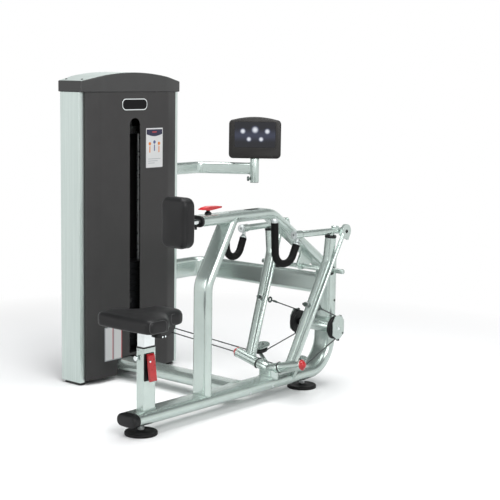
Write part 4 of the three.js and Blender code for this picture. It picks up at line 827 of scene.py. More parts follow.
# %% Handle bars
BAR_RADIUS, COLLAR_LENGTH = 16, 45
bar_front, bar_rear = at(862, 167, 838), at(1200, 200, 834)
bar_axis = (bar_rear - bar_front).normalized()
bar_at = lambda x: bar_front + bar_axis * ((x - bar_front.x) / bar_axis.x)
collar_front = bar_at(bar_front.x + 6.3)
collar_rear = collar_front + bar_axis * COLLAR_LENGTH
bar_start = collar_rear + bar_axis * 0.3
arm_end = (arm_top - arm_knee).normalized()
bushing_foot = arm_top + arm_end * 0.3
boss_foot = bar_at(arm_top.x + 31)
for name, turn in sides():
    bar = Piece("handle_bar_round_" + name).add(turn(rod(bar_start, bar_rear, BAR_RADIUS, 1.5)), silver_paint)
    bar.add(turn(rod(bar_start - bar_axis * 0.2, bar_start + bar_axis * 4, BAR_RADIUS + 0.8, 0.8)), nylon)
    disc = [
        (0, 0), (4, 0.4), (4.5, 2), (5.5, 2), (6, -0.2), (17, -0.4), (19.4, 0.6), (20, 2), (20, 5.4), (19, 6),
        (0, 6),
    ]
    bar.add(turn(turned(disc, bar_front, bar_axis, 48)), satin_chrome)
    bar.add(turn(button(bar_front + bar_axis * 0.4, -bar_axis, 5.5, 0.35, 2.4)), dark_steel)
    bar.add(turn(rod(bar_front + bar_axis * 5, bar_start, 12, 0.5)), dark_steel)
    bar.add(turn(rod(bar_rear - bar_axis, bar_rear + bar_axis * 16, BAR_RADIUS - 0.6, 3)), nylon)
    boss = [(0, 0), (18, 0), (18, 20), (19, 21), (19, 23.6), (17.6, 25), (12, 25), (11, 24), (0, 24)]
    bar.add(turn(turned(boss, boss_foot, Z, 40)), silver_paint)
    bar.add(turn(hex_head(boss_foot + Z * 20, Z, 12, 4.6)), steel)
    bushing = [(0, 0), (27.5, 0), (29, 1.5), (29, 10), (27, 12), (0, 12)]
    bar.add(turn(turned(bushing, bushing_foot, arm_end, 48)), nylon)
    bar.add(turn(rod(bushing_foot + arm_end * 6, bar_at(arm_top.x), 14, 0.5)), silver_paint)
    bar.place("arm_" + name, "silver_paint", ["handle_bar_" + name])

# %% [markdown]
# Each arm's link rod stands on the side that faces away from the tower, so the two aren't mirrored.

# %% Link rods
LINK_FOOT_X, LINK_FOOT_Z, LINK_TOP_X, LINK_TOP_Z = 876, 215, 1172, 822
CLEVIS_RADIUS, CLEVIS_TAIL, CLEVIS_OFF = 36, 34, BAR_RADIUS + 1.2
link_up = at(LINK_TOP_X - LINK_FOOT_X, 0, LINK_TOP_Z - LINK_FOOT_Z).normalized()
link_across = at(link_up.z, 0, -link_up.x)
clevis_outline = arc_points(CLEVIS_RADIUS, 0, math.pi, 24)
clevis_outline += [(-CLEVIS_RADIUS, -CLEVIS_TAIL), (CLEVIS_TAIL, -CLEVIS_TAIL)]
# For each rod: y at its foot and at its top, how thick its clevis plate is, and y of that plate's near face.
link_places = {
    "left": (84, 155, 22, bar_at(LINK_TOP_X).y - CLEVIS_OFF),
    "right": (-187, -238, 15, -bar_rear.y - CLEVIS_OFF),
}
for name, (foot_y, top_y, thick, near) in link_places.items():
    foot, top = at(LINK_FOOT_X, foot_y, LINK_FOOT_Z), at(LINK_TOP_X, top_y, LINK_TOP_Z)
    link = Piece("link_rod_round_" + name).add(rod(foot, top, 10, 1), silver_paint)
    clevis_centre = at(LINK_TOP_X + 36, near, LINK_TOP_Z + 9)
    link.add(slab(clevis_outline, thick, clevis_centre, link_across, link_up), silver_paint)
    link.place("arm_" + name, "silver_paint", ["link_rod_" + name], edge=2.5, edge_steps=3)
    pin = Piece("link_pin_" + name).add(rod(clevis_centre, clevis_centre - Y * (thick + 1), 9, 1), nylon)
    pin.add(button(clevis_centre - Y * (thick + 0.6), -Y, 8, 4, 3.6), nylon)
    pin.place("arm_" + name, "silver_paint")

# %% [markdown]
# The grip is a bent steel rod in a thick sleeve of foam rubber. The sleeve ends in a chromed button at the
# free end and a chromed ferrule at the neck.

# %% Grips
GRIP_RADIUS, GRIP_BEND = 18, 61
grip_place = lambda x, z: at(x, bar_at(x).y, z)
free_end, hang = grip_place(731, 926), grip_place(884, 792)
grip_corners = [free_end, grip_place(742, 704), grip_place(842, 704), hang]
grip_side = bar_axis.cross(Z).normalized()
down = (grip_corners[1] - free_end).normalized()
neck = (hang - grip_corners[2]).normalized()
sleeve_route = bent([free_end + down * 20, *grip_corners[1:3], hang - neck * 4], GRIP_BEND)
collar_middle = (collar_front + collar_rear) / 2
for name, turn in sides():
    grip = Piece("grip_sleeve_" + name).add(
        turn(sweep(ring(GRIP_RADIUS, 32), sleeve_route, grip_side)), foam_rubber
    )
    cap = [(0, 0), (12, 0.6), (15.5, 2.4), (17, 5), (17.4, 8), (17.4, 12), (16, 14), (16, 22), (0, 22)]
    grip.add(turn(turned(cap, free_end, down, 40)), satin_chrome)
    ferrule = [(0, 0), (16, 0), (17.4, 1.5), (17.4, 6), (15, 9), (11.5, 13), (9, 18), (9, 22), (0, 22)]
    grip.add(turn(turned(ferrule, hang - neck * 5, (collar_middle - hang + neck * 8), 40)), satin_chrome)
    grip.add(turn(rod(hang, collar_middle, 9, 1)), satin_chrome)
    collar = [(12.5, 0), (18.5, 0), (19.5, 1)]
    collar += [(radius, COLLAR_LENGTH - along) for radius, along in reversed(collar)]
    grip.add(turn(turned(collar + collar[:1], collar_front, bar_axis, 48)), silver_paint)
    grip.place("grip_" + name, "rubber", ["grip_" + name], sharp=40)

# %% [markdown]
# ## Rope, pulleys and eyebolts
# A nylon-jacketed wire rope runs from an eyebolt through each arm, over the rear pulley, round a low pulley
# and into the tower. It is under tension, so every run is straight and every turn is an arc of its pulley.

# %% Eyebolts
bolt_front, bolt_rear = at(985, 148, 480), at(1078, 157, 453)
bolt_run = (bolt_rear - bolt_front).normalized()
EYE_RADIUS, EYE_WIRE = 12, 4.5
eye_centre = bolt_rear + bolt_run * EYE_RADIUS


def hoop(centre, normal, radius, wire, sides=28):
    right, up = basis(Vector(normal).normalized())
    return bead([centre + right * x + up * z for x, z in ring(radius, sides)], wire, 12)


for name, turn in sides():
    link = Piece("eyebolt_" + name).add(
        turn(rod(bolt_front - bolt_run * 12, bolt_rear, 6, 1, 24)), dark_steel
    )
    link.add(turn(hex_head(bolt_front - bolt_run * 2, bolt_run, 19, 10)), dark_steel)
    link.add(turn(washer(bolt_front + bolt_run * 10, bolt_run, 14, 2.4)), steel)
    link.add(turn(hex_head(bolt_front + bolt_run * 76, bolt_run, 17, 9)), dark_steel)
    link.add(turn(hoop(eye_centre, Y, EYE_RADIUS, EYE_WIRE)), dark_steel)
    link.place("arm_" + name, "steel", ["cable_link_" + name], sharp=35)

# %% Rear pulleys with their shaft and covers
SHAFT_X, PULLEY_Y, SHAFT_LIFT, PULLEY_RADIUS, PULLEY_WIDTH, GROOVE = 1284, 121, 314, 59, 26, 7


def pulley_shape(centre, axis, radius, width, bore=8):
    """A grooved wheel with a rim, a dished web and a hub."""
    half, floor = width / 2, radius - GROOVE
    hub = [(bore, half), (bore + 9, half), (bore + 10, half - 1), (bore + 11, half * 0.5)]
    rim = [(floor - 7, half * 0.5), (floor - 6, half * 0.9)]
    rim += [(radius - 1, half * 0.96), (radius, half * 0.86), (radius - 0.6, half * 0.7)]
    angles = [math.pi / 2 * k / 5 for k in range(5, 0, -1)]
    groove = [(floor + GROOVE * (1 - math.cos(a)), half * 0.62 * math.sin(a)) for a in angles]
    top = hub + rim + groove
    profile = [*top, (floor, 0), *[(r, -d) for r, d in reversed(top)]]
    return turned([*profile, profile[0]], centre, axis, 64)


COVER_HEIGHT, COVER_WIDTH, COVER_THICK = 133, 95, 5
half_w, half_h = COVER_WIDTH / 2, COVER_HEIGHT / 2
cover_side = [(half_w, -half_h / 2, 5), (half_w, half_h / 2, 5), (half_w / 2, half_h, 4)]
cover_far_side = [(-x, y, radius) for x, y, radius in reversed(cover_side)]
cover_outline = rounded_corners([(0, -half_h, 5), *cover_side, *cover_far_side], 4)
cover_inside = PULLEY_Y + PULLEY_WIDTH / 2 + 2
shaft = Piece("pulley_cross_tube")
shaft.add(rod(at(SHAFT_X, -92, SHAFT_LIFT), at(SHAFT_X, 92, SHAFT_LIFT), 30, 1.5, 56), silver_paint)
shaft.add(box(SHAFT_X, UPRIGHT_X - RAIL_HEIGHT / 2, -40, 40, SHAFT_LIFT - 22, SHAFT_LIFT + 22), silver_paint)
for name, turn in sides():
    shaft.add(
        turn(rod(at(SHAFT_X, 90, SHAFT_LIFT), at(SHAFT_X, cover_inside + 5, SHAFT_LIFT), 8, 0.6, 24)), steel
    )
    spacer = [(0, 0), (16, 0), (16, 10), (0, 10)]
    shaft.add(turn(turned(spacer, at(SHAFT_X, 96, SHAFT_LIFT), Y, 32)), steel)
    cover_shape = slab(cover_outline, COVER_THICK, at(SHAFT_X, cover_inside + COVER_THICK, SHAFT_LIFT), X, Z)
    shaft.add(turn(cover_shape), silver_paint)
shaft.place("frame", "silver_paint", ["pulley_shaft"], edge=1)
for name, turn in sides():
    wheel = pulley_shape(at(SHAFT_X, PULLEY_Y, SHAFT_LIFT), Y, PULLEY_RADIUS, PULLEY_WIDTH)
    rear_wheel = Piece("rear_pulley_wheel_" + name).add(turn(wheel), nylon)
    rear_wheel.place("rear_pulley_" + name, "nylon", ["rear_pulley_" + name])
    ends = Piece("cover_bolts_" + name)
    outside = at(SHAFT_X, cover_inside + COVER_THICK, SHAFT_LIFT)
    ends.add(turn(button(outside, Y, 9, 4.6, 4)), chrome)
    ends.add(turn(rod(outside + at(0, -12, -half_h + 5), outside + at(0, 3, -half_h + 5), 5.5, 1)), nylon)
    ends.add(turn(rod(outside + at(18, -12, half_h - 4), outside + at(18, 1, half_h - 4), 4, 1)), nylon)
    ends.add(turn(button(outside + at(36, 0, -half_h + 36), Y, 4.5, 3, 2)), nylon)
    ends.place("frame", "steel")

# %% [markdown]
# The rope's route is worked out the way the CAD does it: the line from the eyebolt just touches the pulley,
# and so does the line that leaves it for the low pulley. The span between an arm and its pulley is one
# straight piece with a ring of points at each end.

# %% Rope routes
CABLE, CABLE_AIR, LOW_RADIUS, LOW_WIDTH = 3, 1.2, 44, 16
rope_section = ring(CABLE, 14)
wrap_radius = PULLEY_RADIUS - GROOVE + CABLE + CABLE_AIR
low_wrap = LOW_RADIUS - GROOVE + CABLE + CABLE_AIR
TOWER_FRONT_X, TOWER_NEAR_Y, TOWER_FAR_Y = 390, 835.5, 976.5
stack_x, stack_y = (TOWER_FRONT_X + TOWER_REAR_X) / 2, (TOWER_NEAR_Y + TOWER_FAR_Y) / 2
RISE_X, FLOAT_LIFT, FLOAT_RADIUS = 1012, 880, 46
float_wrap = FLOAT_RADIUS - GROOVE + CABLE + CABLE_AIR


def touch_angle(place, side):
    away = (place[0] - SHAFT_X, place[2] - SHAFT_LIFT)
    return math.atan2(away[1], away[0]) + side * math.acos(wrap_radius / math.hypot(*away))


def bend_of(corners, radius):
    """The centre and axis of the arc at the middle one of three corners."""
    before, after = (corners[1] - corners[0]).normalized(), (corners[2] - corners[1]).normalized()
    axis = before.cross(after).normalized()
    start = corners[1] - before * radius * math.tan(before.angle(after) / 2)
    return start + axis.cross(before) * radius, axis


def rope(name, side, low_corner, tower_corners):
    y = side * PULLEY_Y
    on_wrap = lambda a: at(SHAFT_X + wrap_radius * math.cos(a), y, SHAFT_LIFT + wrap_radius * math.sin(a))
    top, bottom = touch_angle(eye_centre, -1), touch_angle(low_corner, 1)
    corners = [on_wrap(bottom), low_corner, *tower_corners]
    around = arc(
        at(SHAFT_X, y, SHAFT_LIFT), Y, on_wrap(top), at(math.sin(top), 0, -math.cos(top)), top - bottom
    )
    low = bent(corners[:3], low_wrap)[1:-1]
    inside = bent(corners[1:], 20)[1:] if len(corners) > 3 else []
    fixed = Piece("rope_" + name).add(sweep(rope_section, around + low + inside, Y), jacket)
    fixed.place("frame", "cable_black", ["cable_" + name])
    eye = at(eye_centre.x, eye_centre.y * side, eye_centre.z)
    pull = (on_wrap(top) - eye).normalized()
    hook, tip = eye + pull * (EYE_RADIUS + EYE_WIRE + 0.6), on_wrap(top) - pull * CABLE_AIR
    moving = Piece("arm_rope_" + name).add(sweep(rope_section, [(hook, pull), (tip, pull)], Y), jacket)
    moving = moving.place(None, "cable_black", ["arm_cable_" + name])
    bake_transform(moving)
    print("free span", name, round((tip - hook).length), "mm")
    ends = Piece("rope_socket_" + name)
    ends.add(
        turned([(0, 0), (5, 0), (5.6, 1), (5.6, 24), (4, 27), (0, 27)], hook + pull * 8, pull, 24), dark_steel
    )
    ends.add(hoop(eye + pull * (EYE_RADIUS + 7), pull.cross(Y), 9, 2.6), dark_steel)
    ends.place("arm_" + name, "steel", sharp=35)
    return bend_of(corners[:3], low_wrap)


riser_top = lambda side: at(RISE_X + side * float_wrap, stack_y, FLOAT_LIFT)
riser_foot = lambda side, lift: at(RISE_X + side * float_wrap, stack_y, lift)
low_bends = {
    "left": rope("left", 1, at(968, 118, 192), [riser_foot(-1, 249), riser_top(-1)]),
    "right": rope("right", -1, at(985, -118, 136), [riser_foot(-1, 223), riser_foot(1, 223), riser_top(1)]),
}

# %% Low pulleys and their brackets
LOW_COVER, LOW_COVER_REACH = 36, 32
for name, side in (("left", 1), ("right", -1)):
    centre, axis = low_bends[name]
    axis = axis if axis.z > 0 else -axis
    above = lambda distance: centre + axis * distance
    half = LOW_WIDTH / 2
    wheel = pulley_shape(centre, axis, LOW_RADIUS, LOW_WIDTH)
    low_wheel = Piece("low_pulley_wheel_" + name).add(wheel, nylon)
    low_wheel.place("low_pulley_" + name, "nylon", ["low_pulley_" + name])
    bracket = Piece("low_bracket_" + name)
    bracket.add(rod(above(-half - 7), above(half + 7), 8, 0.5), steel)
    rearward = (X - axis * axis.x).normalized()
    lid_outline = oval(2 * LOW_COVER, 2 * LOW_COVER + LOW_COVER_REACH)
    lid_corner = above(half + 2) + rearward * LOW_COVER_REACH / 2
    bracket.add(slab(lid_outline, 5, lid_corner, rearward.cross(axis), rearward), silver_paint)
    bracket.add(button(above(half + 7), axis, 7, 3.6, 3), steel)
    bracket.add(button(above(half + 7) + rearward * LOW_COVER_REACH, axis, 5, 3, 2.4), nylon)
    bracket.add(rod(above(-half - 14), above(-half - 2), 18, 1), silver_paint)
    foot = at(centre.x, side * 50, RAIL_LIFT)
    bracket.add(rod(foot, above(-half - 9), 10, 0.5), silver_paint)
    bracket.place("frame", "silver_paint", edge=1)
print("rope wraps at", round(wrap_radius, 1), "and", round(low_wrap, 1), "mm")

# %% [markdown]
# ## Seat post and lever
# The seat slides in a rounded rectangular post. A dark guide bush shows as a line at the post's mouth, and a
# dark plate carries the red release lever.

# %% Seat post
POST_SEAT_X, SEAT_POST_DEPTH, SEAT_POST_WIDTH, SEAT_POST_TOP = 30, 80, 50, 400
LEVER_X, LEVER_TOP, LEVER_HEIGHT = 22, 372, 125
STEM_FOOT, STEM_HEAD = 181, 483
post_outline = rounded(SEAT_POST_DEPTH, SEAT_POST_WIDTH, 10)
post_bore = rounded(SEAT_POST_DEPTH - 5, SEAT_POST_WIDTH - 5, 8)
seat_post = Piece("seat_post_tube")
foot_of_post = at(POST_SEAT_X, 0, RAIL_LIFT + 20)
seat_post.add(
    slab(post_outline, SEAT_POST_TOP - RAIL_LIFT - 26, foot_of_post, X, Y, [post_bore]), silver_paint
)
rim_foot = at(POST_SEAT_X, 0, SEAT_POST_TOP - 6)
seat_post.add(slab(rounded(82, 52, 11), 6, rim_foot, X, Y, [rounded(73.6, 43.6, 6.6)]), nylon)
skin = rounded(60, LEVER_HEIGHT, 4)
plate_middle = at(LEVER_X, -24, LEVER_TOP - LEVER_HEIGHT / 2)
seat_post.add(slab(skin, 5, plate_middle, X, Z), nylon)
post_seam = rounded(SEAT_POST_DEPTH, SEAT_POST_WIDTH, 10, 1.5, 8)
seat_post.add(bead([at(POST_SEAT_X + x, y, rail_top(y)) for x, y in post_seam]), weld)
knob = [(0, 0), (6, 0), (6, 3), (11, 4), (12, 6), (12, 14), (10.5, 16), (0, 16.5)]
seat_post.add(turned(knob, at(-10, 12, 349), -X, 36), chrome)
seat_post.add(button(at(-10, 11.6, 386), -X, 6, 3.4, 2.4), steel)
seat_post.place("frame", "silver_paint", ["seat_post"], edge=0.8)

# %% Seat stem and lever
seat_stem = Piece("seat_stem_tube")
seat_stem.add(
    slab(rounded(73.4, 43.4, 6.4), STEM_HEAD - STEM_FOOT, at(POST_SEAT_X, 0, STEM_FOOT), X, Y), chrome
)
seat_stem.add(slab(rounded(225, 110, 12), 5.6, at(52.5, 0, 484), X, Y), black_paint)
# The web is a real bracket, but it is drawn black and 100 mm wide so that it also stands as painted shade
# under the seat's nose.
web = [(74, 486), (74, 431.7), (112, 431.7), (165, 466.4), (165, 486)]
seat_stem.add(slab(web, 100, at(0, 50, 0), X, Z), black_paint)
for x in (84, 102):
    seat_stem.add(button(at(x, -50, 439), -Y, 5, 4, 2.2), chrome)
for y in (-40, 40):
    seat_stem.add(hex_head(at(-40, y, 484), -Z, 13, 5), steel)
seat_stem.place("seat", "chrome", ["seat_stem"], edge=0.6)

lever_near = -SEAT_POST_WIDTH / 2 - 4.3
lever_foot = LEVER_TOP - LEVER_HEIGHT
lever_corners = [(lever_near - 14, LEVER_TOP - 7, 6), (lever_near - 30, lever_foot, 6)]
lever_corners += [(lever_near - 16, lever_foot, 4), (lever_near, LEVER_TOP, 2)]
lever_outline = rounded_corners(lever_corners, 5)
lever = Piece("seat_release_lever").add(slab(lever_outline, 40, at(LEVER_X - 20, 0, 0), Y, Z), red_plastic)
rivet_foot = at(LEVER_X - 12, lever_near - 17.2, LEVER_TOP - 34)
lever.add(turned([(0, 0), (5, 0), (5, 2), (0, 2.4)], rivet_foot, -Y, 24), chrome)
lever.place("seat_lever", "red_plastic", ["seat_lever"], edge=2.4, edge_steps=3)

# %% [markdown]
# ## Upholstery
# A cushion is a foam block in a sewn vinyl cover that presses on it. The block is made a little small,
# remeshed into even squares, and blown up by the cloth simulation against its own stiffness: its middle
# crowns, its edges go round, and its sides pull in between the corners. How far a point may move is capped,
# and each point's move is then evened out with its neighbours' many times over, so that the cap leaves no
# crease. The seams are laid on afterwards, each as a thin cord whose line is dropped onto the cushion's
# surface. The cords carry painted light: the seat's are lighter, partly a painted highlight, and the chest
# pad's are dark, a painted shade in the seam crease.


# %% Stuffing and seams
CLOTH_MOMENTS, EVENING_ROUNDS = 20, 60


def stuffed(name, shape, resting, voxel=5, cap=7, pressure=4):
    """A padded cover grown from a closed shape. resting tells which points lie on the backing board.

    voxel is the size of its squares and cap is how far a point may move, both in millimetres.
    """
    form = settle_remesh(Piece(name + "_form").add(shape, upholstery).place(None, "upholstery"), voxel)
    start = [v.co.copy() for v in form.data.vertices]
    pinned = form.vertex_groups.new(name="board")
    pinned.add([i for i, p in enumerate(start) if resting(p / MM)], 1, "REPLACE")
    cloth = form.modifiers.new("cover", "CLOTH")
    cloth.settings.quality, cloth.settings.mass, cloth.settings.air_damping = 6, 0.3, 2
    cloth.settings.tension_stiffness = cloth.settings.compression_stiffness = 18
    cloth.settings.shear_stiffness, cloth.settings.bending_stiffness = 8, 1.2
    cloth.settings.vertex_group_mass = "board"
    cloth.settings.use_pressure, cloth.settings.uniform_pressure_force = True, pressure
    cloth.settings.effector_weights.gravity = 0
    cloth.collision_settings.use_collision = False
    for moment in range(1, CLOTH_MOMENTS + 1):
        bpy.context.scene.frame_set(moment)
    swollen = form.evaluated_get(bpy.context.evaluated_depsgraph_get()).data
    moved = [v.co.copy() for v in swollen.vertices]
    form.modifiers.clear()
    bpy.context.scene.frame_set(1)
    steps = [now - was for was, now in zip(start, moved)]
    steps = np.array([step * min(1, cap * MM / max(step.length, 1e-9)) for step in steps])
    ends = np.array([edge.vertices[:] for edge in form.data.edges])
    shares = np.bincount(ends.ravel(), minlength=len(steps))[:, None]
    for _ in range(EVENING_ROUNDS):
        drawn = np.zeros_like(steps)
        np.add.at(drawn, ends[:, 0], steps[ends[:, 1]])
        np.add.at(drawn, ends[:, 1], steps[ends[:, 0]])
        steps = drawn / shares
    for vertex, was, step in zip(form.data.vertices, start, steps):
        vertex.co = was + Vector(step)
    print(name, "swelled by up to", round(float(np.linalg.norm(steps, axis=1).max()) / MM, 1), "mm")
    smooth = form.modifiers.new("smooth", "SUBSURF")
    smooth.levels = smooth.render_levels = 1
    settle(form)
    form.name = name
    form.data.shade_smooth()
    return form


def settle_remesh(form, voxel):
    """Even squares of one size all over a shape, with the steps of the cut smoothed away."""
    even = form.modifiers.new("even", "REMESH")
    even.mode, even.voxel_size, even.use_smooth_shade = "VOXEL", voxel * MM, True
    relax = form.modifiers.new("relax", "SMOOTH")
    relax.factor, relax.iterations = 0.5, 4
    bpy.context.view_layer.update()
    return settle(form)


def skin_of(thing):
    """An object's surface as something that a ray can be cast at."""
    return BVHTree.FromPolygons(
        [v.co for v in thing.data.vertices], [p.vertices for p in thing.data.polygons]
    )


def dropped(thing, path, heading, sink=0.4):
    """A path moved along a heading until it lies on an object's surface."""
    tree, landed = skin_of(thing), []
    for p in path:
        place = tree.ray_cast(p * MM - heading, heading)[0] or tree.find_nearest(p * MM)[0]
        landed.append(place / MM + heading * sink)
    return landed


def drawn_in(outline, distance):
    """An outline moved inwards by a distance, point for point."""
    count, moved = len(outline), []
    for i, point in enumerate(outline):
        before = Vector(outline[i - 1])
        after = Vector(outline[(i + 1) % count])
        run = (after - before).normalized()
        moved.append((point[0] - run.y * distance, point[1] + run.x * distance))
    return moved


def block(outline, thickness, corner, right, up, edge):
    """A block with its outline rounded over at the top and a little at the base."""
    out, rings = right.cross(up), []
    levels = [(edge * 0.35, 0), (edge * 0.08, edge * 0.3)]
    angles = [math.pi / 2 * k / 6 for k in range(7)]
    levels += [(edge * (1 - math.cos(a)), thickness - edge * (1 - math.sin(a))) for a in angles]
    for inset, lift in levels:
        rings.append([corner + right * x + up * y + out * lift for x, y in drawn_in(outline, inset)])
    return loft(rings)


# %% [markdown]
# The seat is wide where the user sits and narrow towards the knees. Sewn panels with a piping close its
# sides. The piping's light grey is partly its own and partly a painted highlight along the rounded seam.

# %% Seat cushion
SEAT_UNDER, SEAT_THICK, SEAT_HALF, NOSE_HALF = 490, 65, 174, 99
SEAT_FRONT, SEAT_SHOULDER, SEAT_ROOT, SEAT_NOSE = -122, -2, 83, 202
START_SMALL = 1
left_corners = [(SEAT_FRONT, SEAT_HALF, 36), (SEAT_SHOULDER, SEAT_HALF, 36)]
left_corners += [(SEAT_ROOT, NOSE_HALF, 26), (SEAT_NOSE, NOSE_HALF, 62)]
right_corners = [(x, -y, radius) for x, y, radius in left_corners]
seat_outline = rounded_corners(right_corners + left_corners[::-1], 10)
seat_block = block(drawn_in(seat_outline, START_SMALL), SEAT_THICK - 3, at(0, 0, SEAT_UNDER + 0.5), X, Y, 22)
seat_pad = stuffed("seat_pad", seat_block, lambda p: p.z < SEAT_UNDER + 3)
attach(seat_pad, "seat")
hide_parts("seat_cushion")

SEAM_LIFT = SEAT_UNDER + 31
# The seat's seams are piping cords whose lighter grey is in part a painted highlight.
seat_seams = Piece("seat_seams")
for middle, width, height in (((SEAT_SHOULDER + SEAT_FRONT) / 2, 94, 50), (134, 84, 44)):
    panel = rounded(width, height, 15, 0, 8)
    for side in (-1, 1):
        loop = [at(middle + x, 0, SEAM_LIFT + z) for x, z in panel]
        seat_seams.add(bead(dropped(seat_pad, loop, -Y * side), 1.5), piping_and_highlight)
seat_seams.place("seat", "upholstery", sharp=70)

# %% [markdown]
# The chest pad is a flat block with a round front edge and a boxed side. A dark cord runs all round it at the
# front and at the back of that side. Its darkness is painted shade, the shadow in the seam's crease.

# %% Chest pad
PAD_FRONT, PAD_THICK, PAD_HALF, PAD_LOW, PAD_HIGH = 190, 72, 80, 818, 1052
pad_middle = at(PAD_FRONT + PAD_THICK, 0, (PAD_LOW + PAD_HIGH) / 2)
pad_outline = rounded(PAD_HIGH - PAD_LOW, 2 * PAD_HALF, 40, 0, 10)
pad_block = block(drawn_in(pad_outline, START_SMALL), PAD_THICK - 3, pad_middle - X * 0.5, Z, Y, 20)
chest = stuffed("chest_cushion", pad_block, lambda p: p.x > PAD_FRONT + PAD_THICK - 3)
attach(chest, "pad")
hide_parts("chest_pad")


def girdle(thing, outline, middle, right, up):
    """A seam round a cushion: each point of an outline is pulled in square to it until it lands."""
    tree, path = skin_of(thing), []
    for i, (x, y) in enumerate(outline):
        before, after = Vector(outline[i - 1]), Vector(outline[(i + 1) % len(outline)])
        run = (after - before).normalized()
        inwards = right * -run.y + up * run.x
        start = middle + right * x + up * y - inwards * 40
        path.append((tree.ray_cast(start * MM, inwards)[0] or start * MM) / MM + inwards * 0.4)
    return path


# These dark cords are painted shade: they stand for the shadow in the pad's seam creases.
pad_seam_painted_shade = Piece("pad_seam_painted_shade")
for back in (PAD_THICK - 20, 14):
    pad_seam_painted_shade.add(bead(girdle(chest, pad_outline, pad_middle - X * back, Z, Y), 1.2), nylon)
pad_seam_painted_shade.place("pad", "upholstery", sharp=70)

# %% Pad stem, collar and lever
STEM_DEPTH, STEM_WIDTH, COLLAR_FRONT, COLLAR_REAR, COLLAR_SCREW_X = 26, 74, 341.7, 355.7, 349
PAD_LEVER_X, PAD_LEVER_FOOT = 432, 957.6
pad_stem = Piece("pad_stem_bar")
board = rounded(PAD_HIGH - PAD_LOW - 36, 124, 14)
pad_stem.add(slab(board, 6, pad_middle + X * 6.3, Z, Y), black_paint)
pad_stem.add(
    sweep(oval(STEM_DEPTH, STEM_WIDTH), bent([(268, 0, UPPER_LIFT), (640, 0, UPPER_LIFT)]), Y), chrome
)
for y, z in ((-45, 860), (45, 860), (-45, 1010), (45, 1010)):
    pad_stem.add(hex_head(at(268, y, z), X, 13, 5), steel)
pad_stem.place("pad", "chrome", ["pad_stem"], edge=0.8)

collar_ring = lambda x, outline: [at(x, s, UPPER_LIFT + n) for n, s in outline]
collar_levels = [(COLLAR_FRONT, -2), (342.6, 0.3), (344, 1.5), (353, 1.5), (355, 1), (COLLAR_REAR, 0.4)]
collar_rings = [collar_ring(x, oval(POST_DEPTH, POST_WIDTH, grow)) for x, grow in collar_levels]
collar_bore = [collar_ring(x, oval(STEM_DEPTH, STEM_WIDTH, 0.6)) for x in (COLLAR_REAR, COLLAR_FRONT)]
collar = Piece("pad_collar_moulding").add(loft(collar_rings + collar_bore), nylon)
collar.add(rod(at(COLLAR_SCREW_X, 0, 912), at(COLLAR_SCREW_X, 0, 897), 6, 1, 24), nylon)
collar.add(hex_head(at(COLLAR_SCREW_X, 0, 897), -Z, 11, 5), dark_steel)
collar.place("frame", "nylon", ["pad_collar"], edge=0.6)

knob_top = [(380, 981), (384, 984), (400, 990), (432, 994.5), (470, 993.5), (508, 991)]
knob_top += [(511, 988), (508, 983.5), (470, 979.5), (432, 976)]
pad_lever = Piece("pad_release_lever").add(slab(knob_top, 34, at(0, 17, 0), X, Z), red_plastic)
lever_foot = at(PAD_LEVER_X, 0, PAD_LEVER_FOOT)
pad_lever.add(rod(lever_foot, at(PAD_LEVER_X, 0, 980), 9, 0.6, 32), nylon)
pad_lever.add(turned([(9, 0), (16, 0), (16, 6), (14, 9), (9, 12), (9, 0)], lever_foot, Z, 36), nylon)
pad_lever.place("pad_lever", "red_plastic", ["pad_lever"], edge=3, edge_steps=3)

# %% [markdown]
# ## The weight tower
# The tower's two side panels and what is inside it stay as the CAD has them, with a finish and broken edges.
# Flat CAD facets would show as bands on the curved parts, so the shroud and the cap are built again with
# finer curves. The cable that lifts the stack is drawn again too, as one straight rope along its CAD part.

# %% CAD parts that keep their shape
def dress(node, material, edge, sharp=25):
    """Gives a CAD node its finish, joins its split corners and breaks its edges."""
    thing = bpy.data.objects[node]
    thing.data.materials.clear()
    thing.data.materials.append(material)
    welded = thing.modifiers.new("joined", "WELD")
    welded.merge_threshold = 0.02 * MM
    return soften(thing, edge, sharp)


kept_shapes = [
    (aluminium, 1.2, ("tower_side_front", "tower_side_rear")),
    (plate_steel, 1.0, ("plates_resting", "plates_lifted", "top_plate")),
    (steel, 0.5, ("guide_frame", "float_block")),
    (nylon, 0.5, ("top_pulley_front", "top_pulley_rear")),
    (jacket, 0, ("lift_cable_over",)),
    (black_paint, 1.0, ("tower_base",)),
    (nylon, 1.2, ("selector_pin",)),
]
for material, edge, nodes in kept_shapes:
    for node in nodes:
        dress(node, material, edge)
    print(material.name, "on", *nodes)

low, high = (Vector(corner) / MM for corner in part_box("lift_cable_stack"))
foot, head = ((low + high) / 2 + Z * end * (high.z - low.z) / 2 for end in (-1, 1))
lifting = Piece("lift_rope").add(sweep(rope_section, [(foot, Z), (head, Z)], X), jacket)
lifting = lifting.place(None, "cable_black", ["lift_cable_stack"])
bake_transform(lifting)

# %% [markdown]
# The shroud is one sheet, folded at soft bends along its length. The slot that shows the stack, the opening
# for the ropes and the notch over the cross rail are cut out of it.

# %% Shroud
TOWER_TOP, SHROUD_FACE, SHROUD_FOOT, SHROUD_SHEET = 1500, 800, 25, 4
SHROUD_CHAMFER, FOLD_RADIUS, CORNER_RADIUS = 80, 90, 8
SLOT_WIDTH, SLOT_FOOT, SLOT_TOP = 76, 128, 1367
shroud_front, shroud_rear = TOWER_FRONT_X + 30.3, TOWER_REAR_X - 30.3


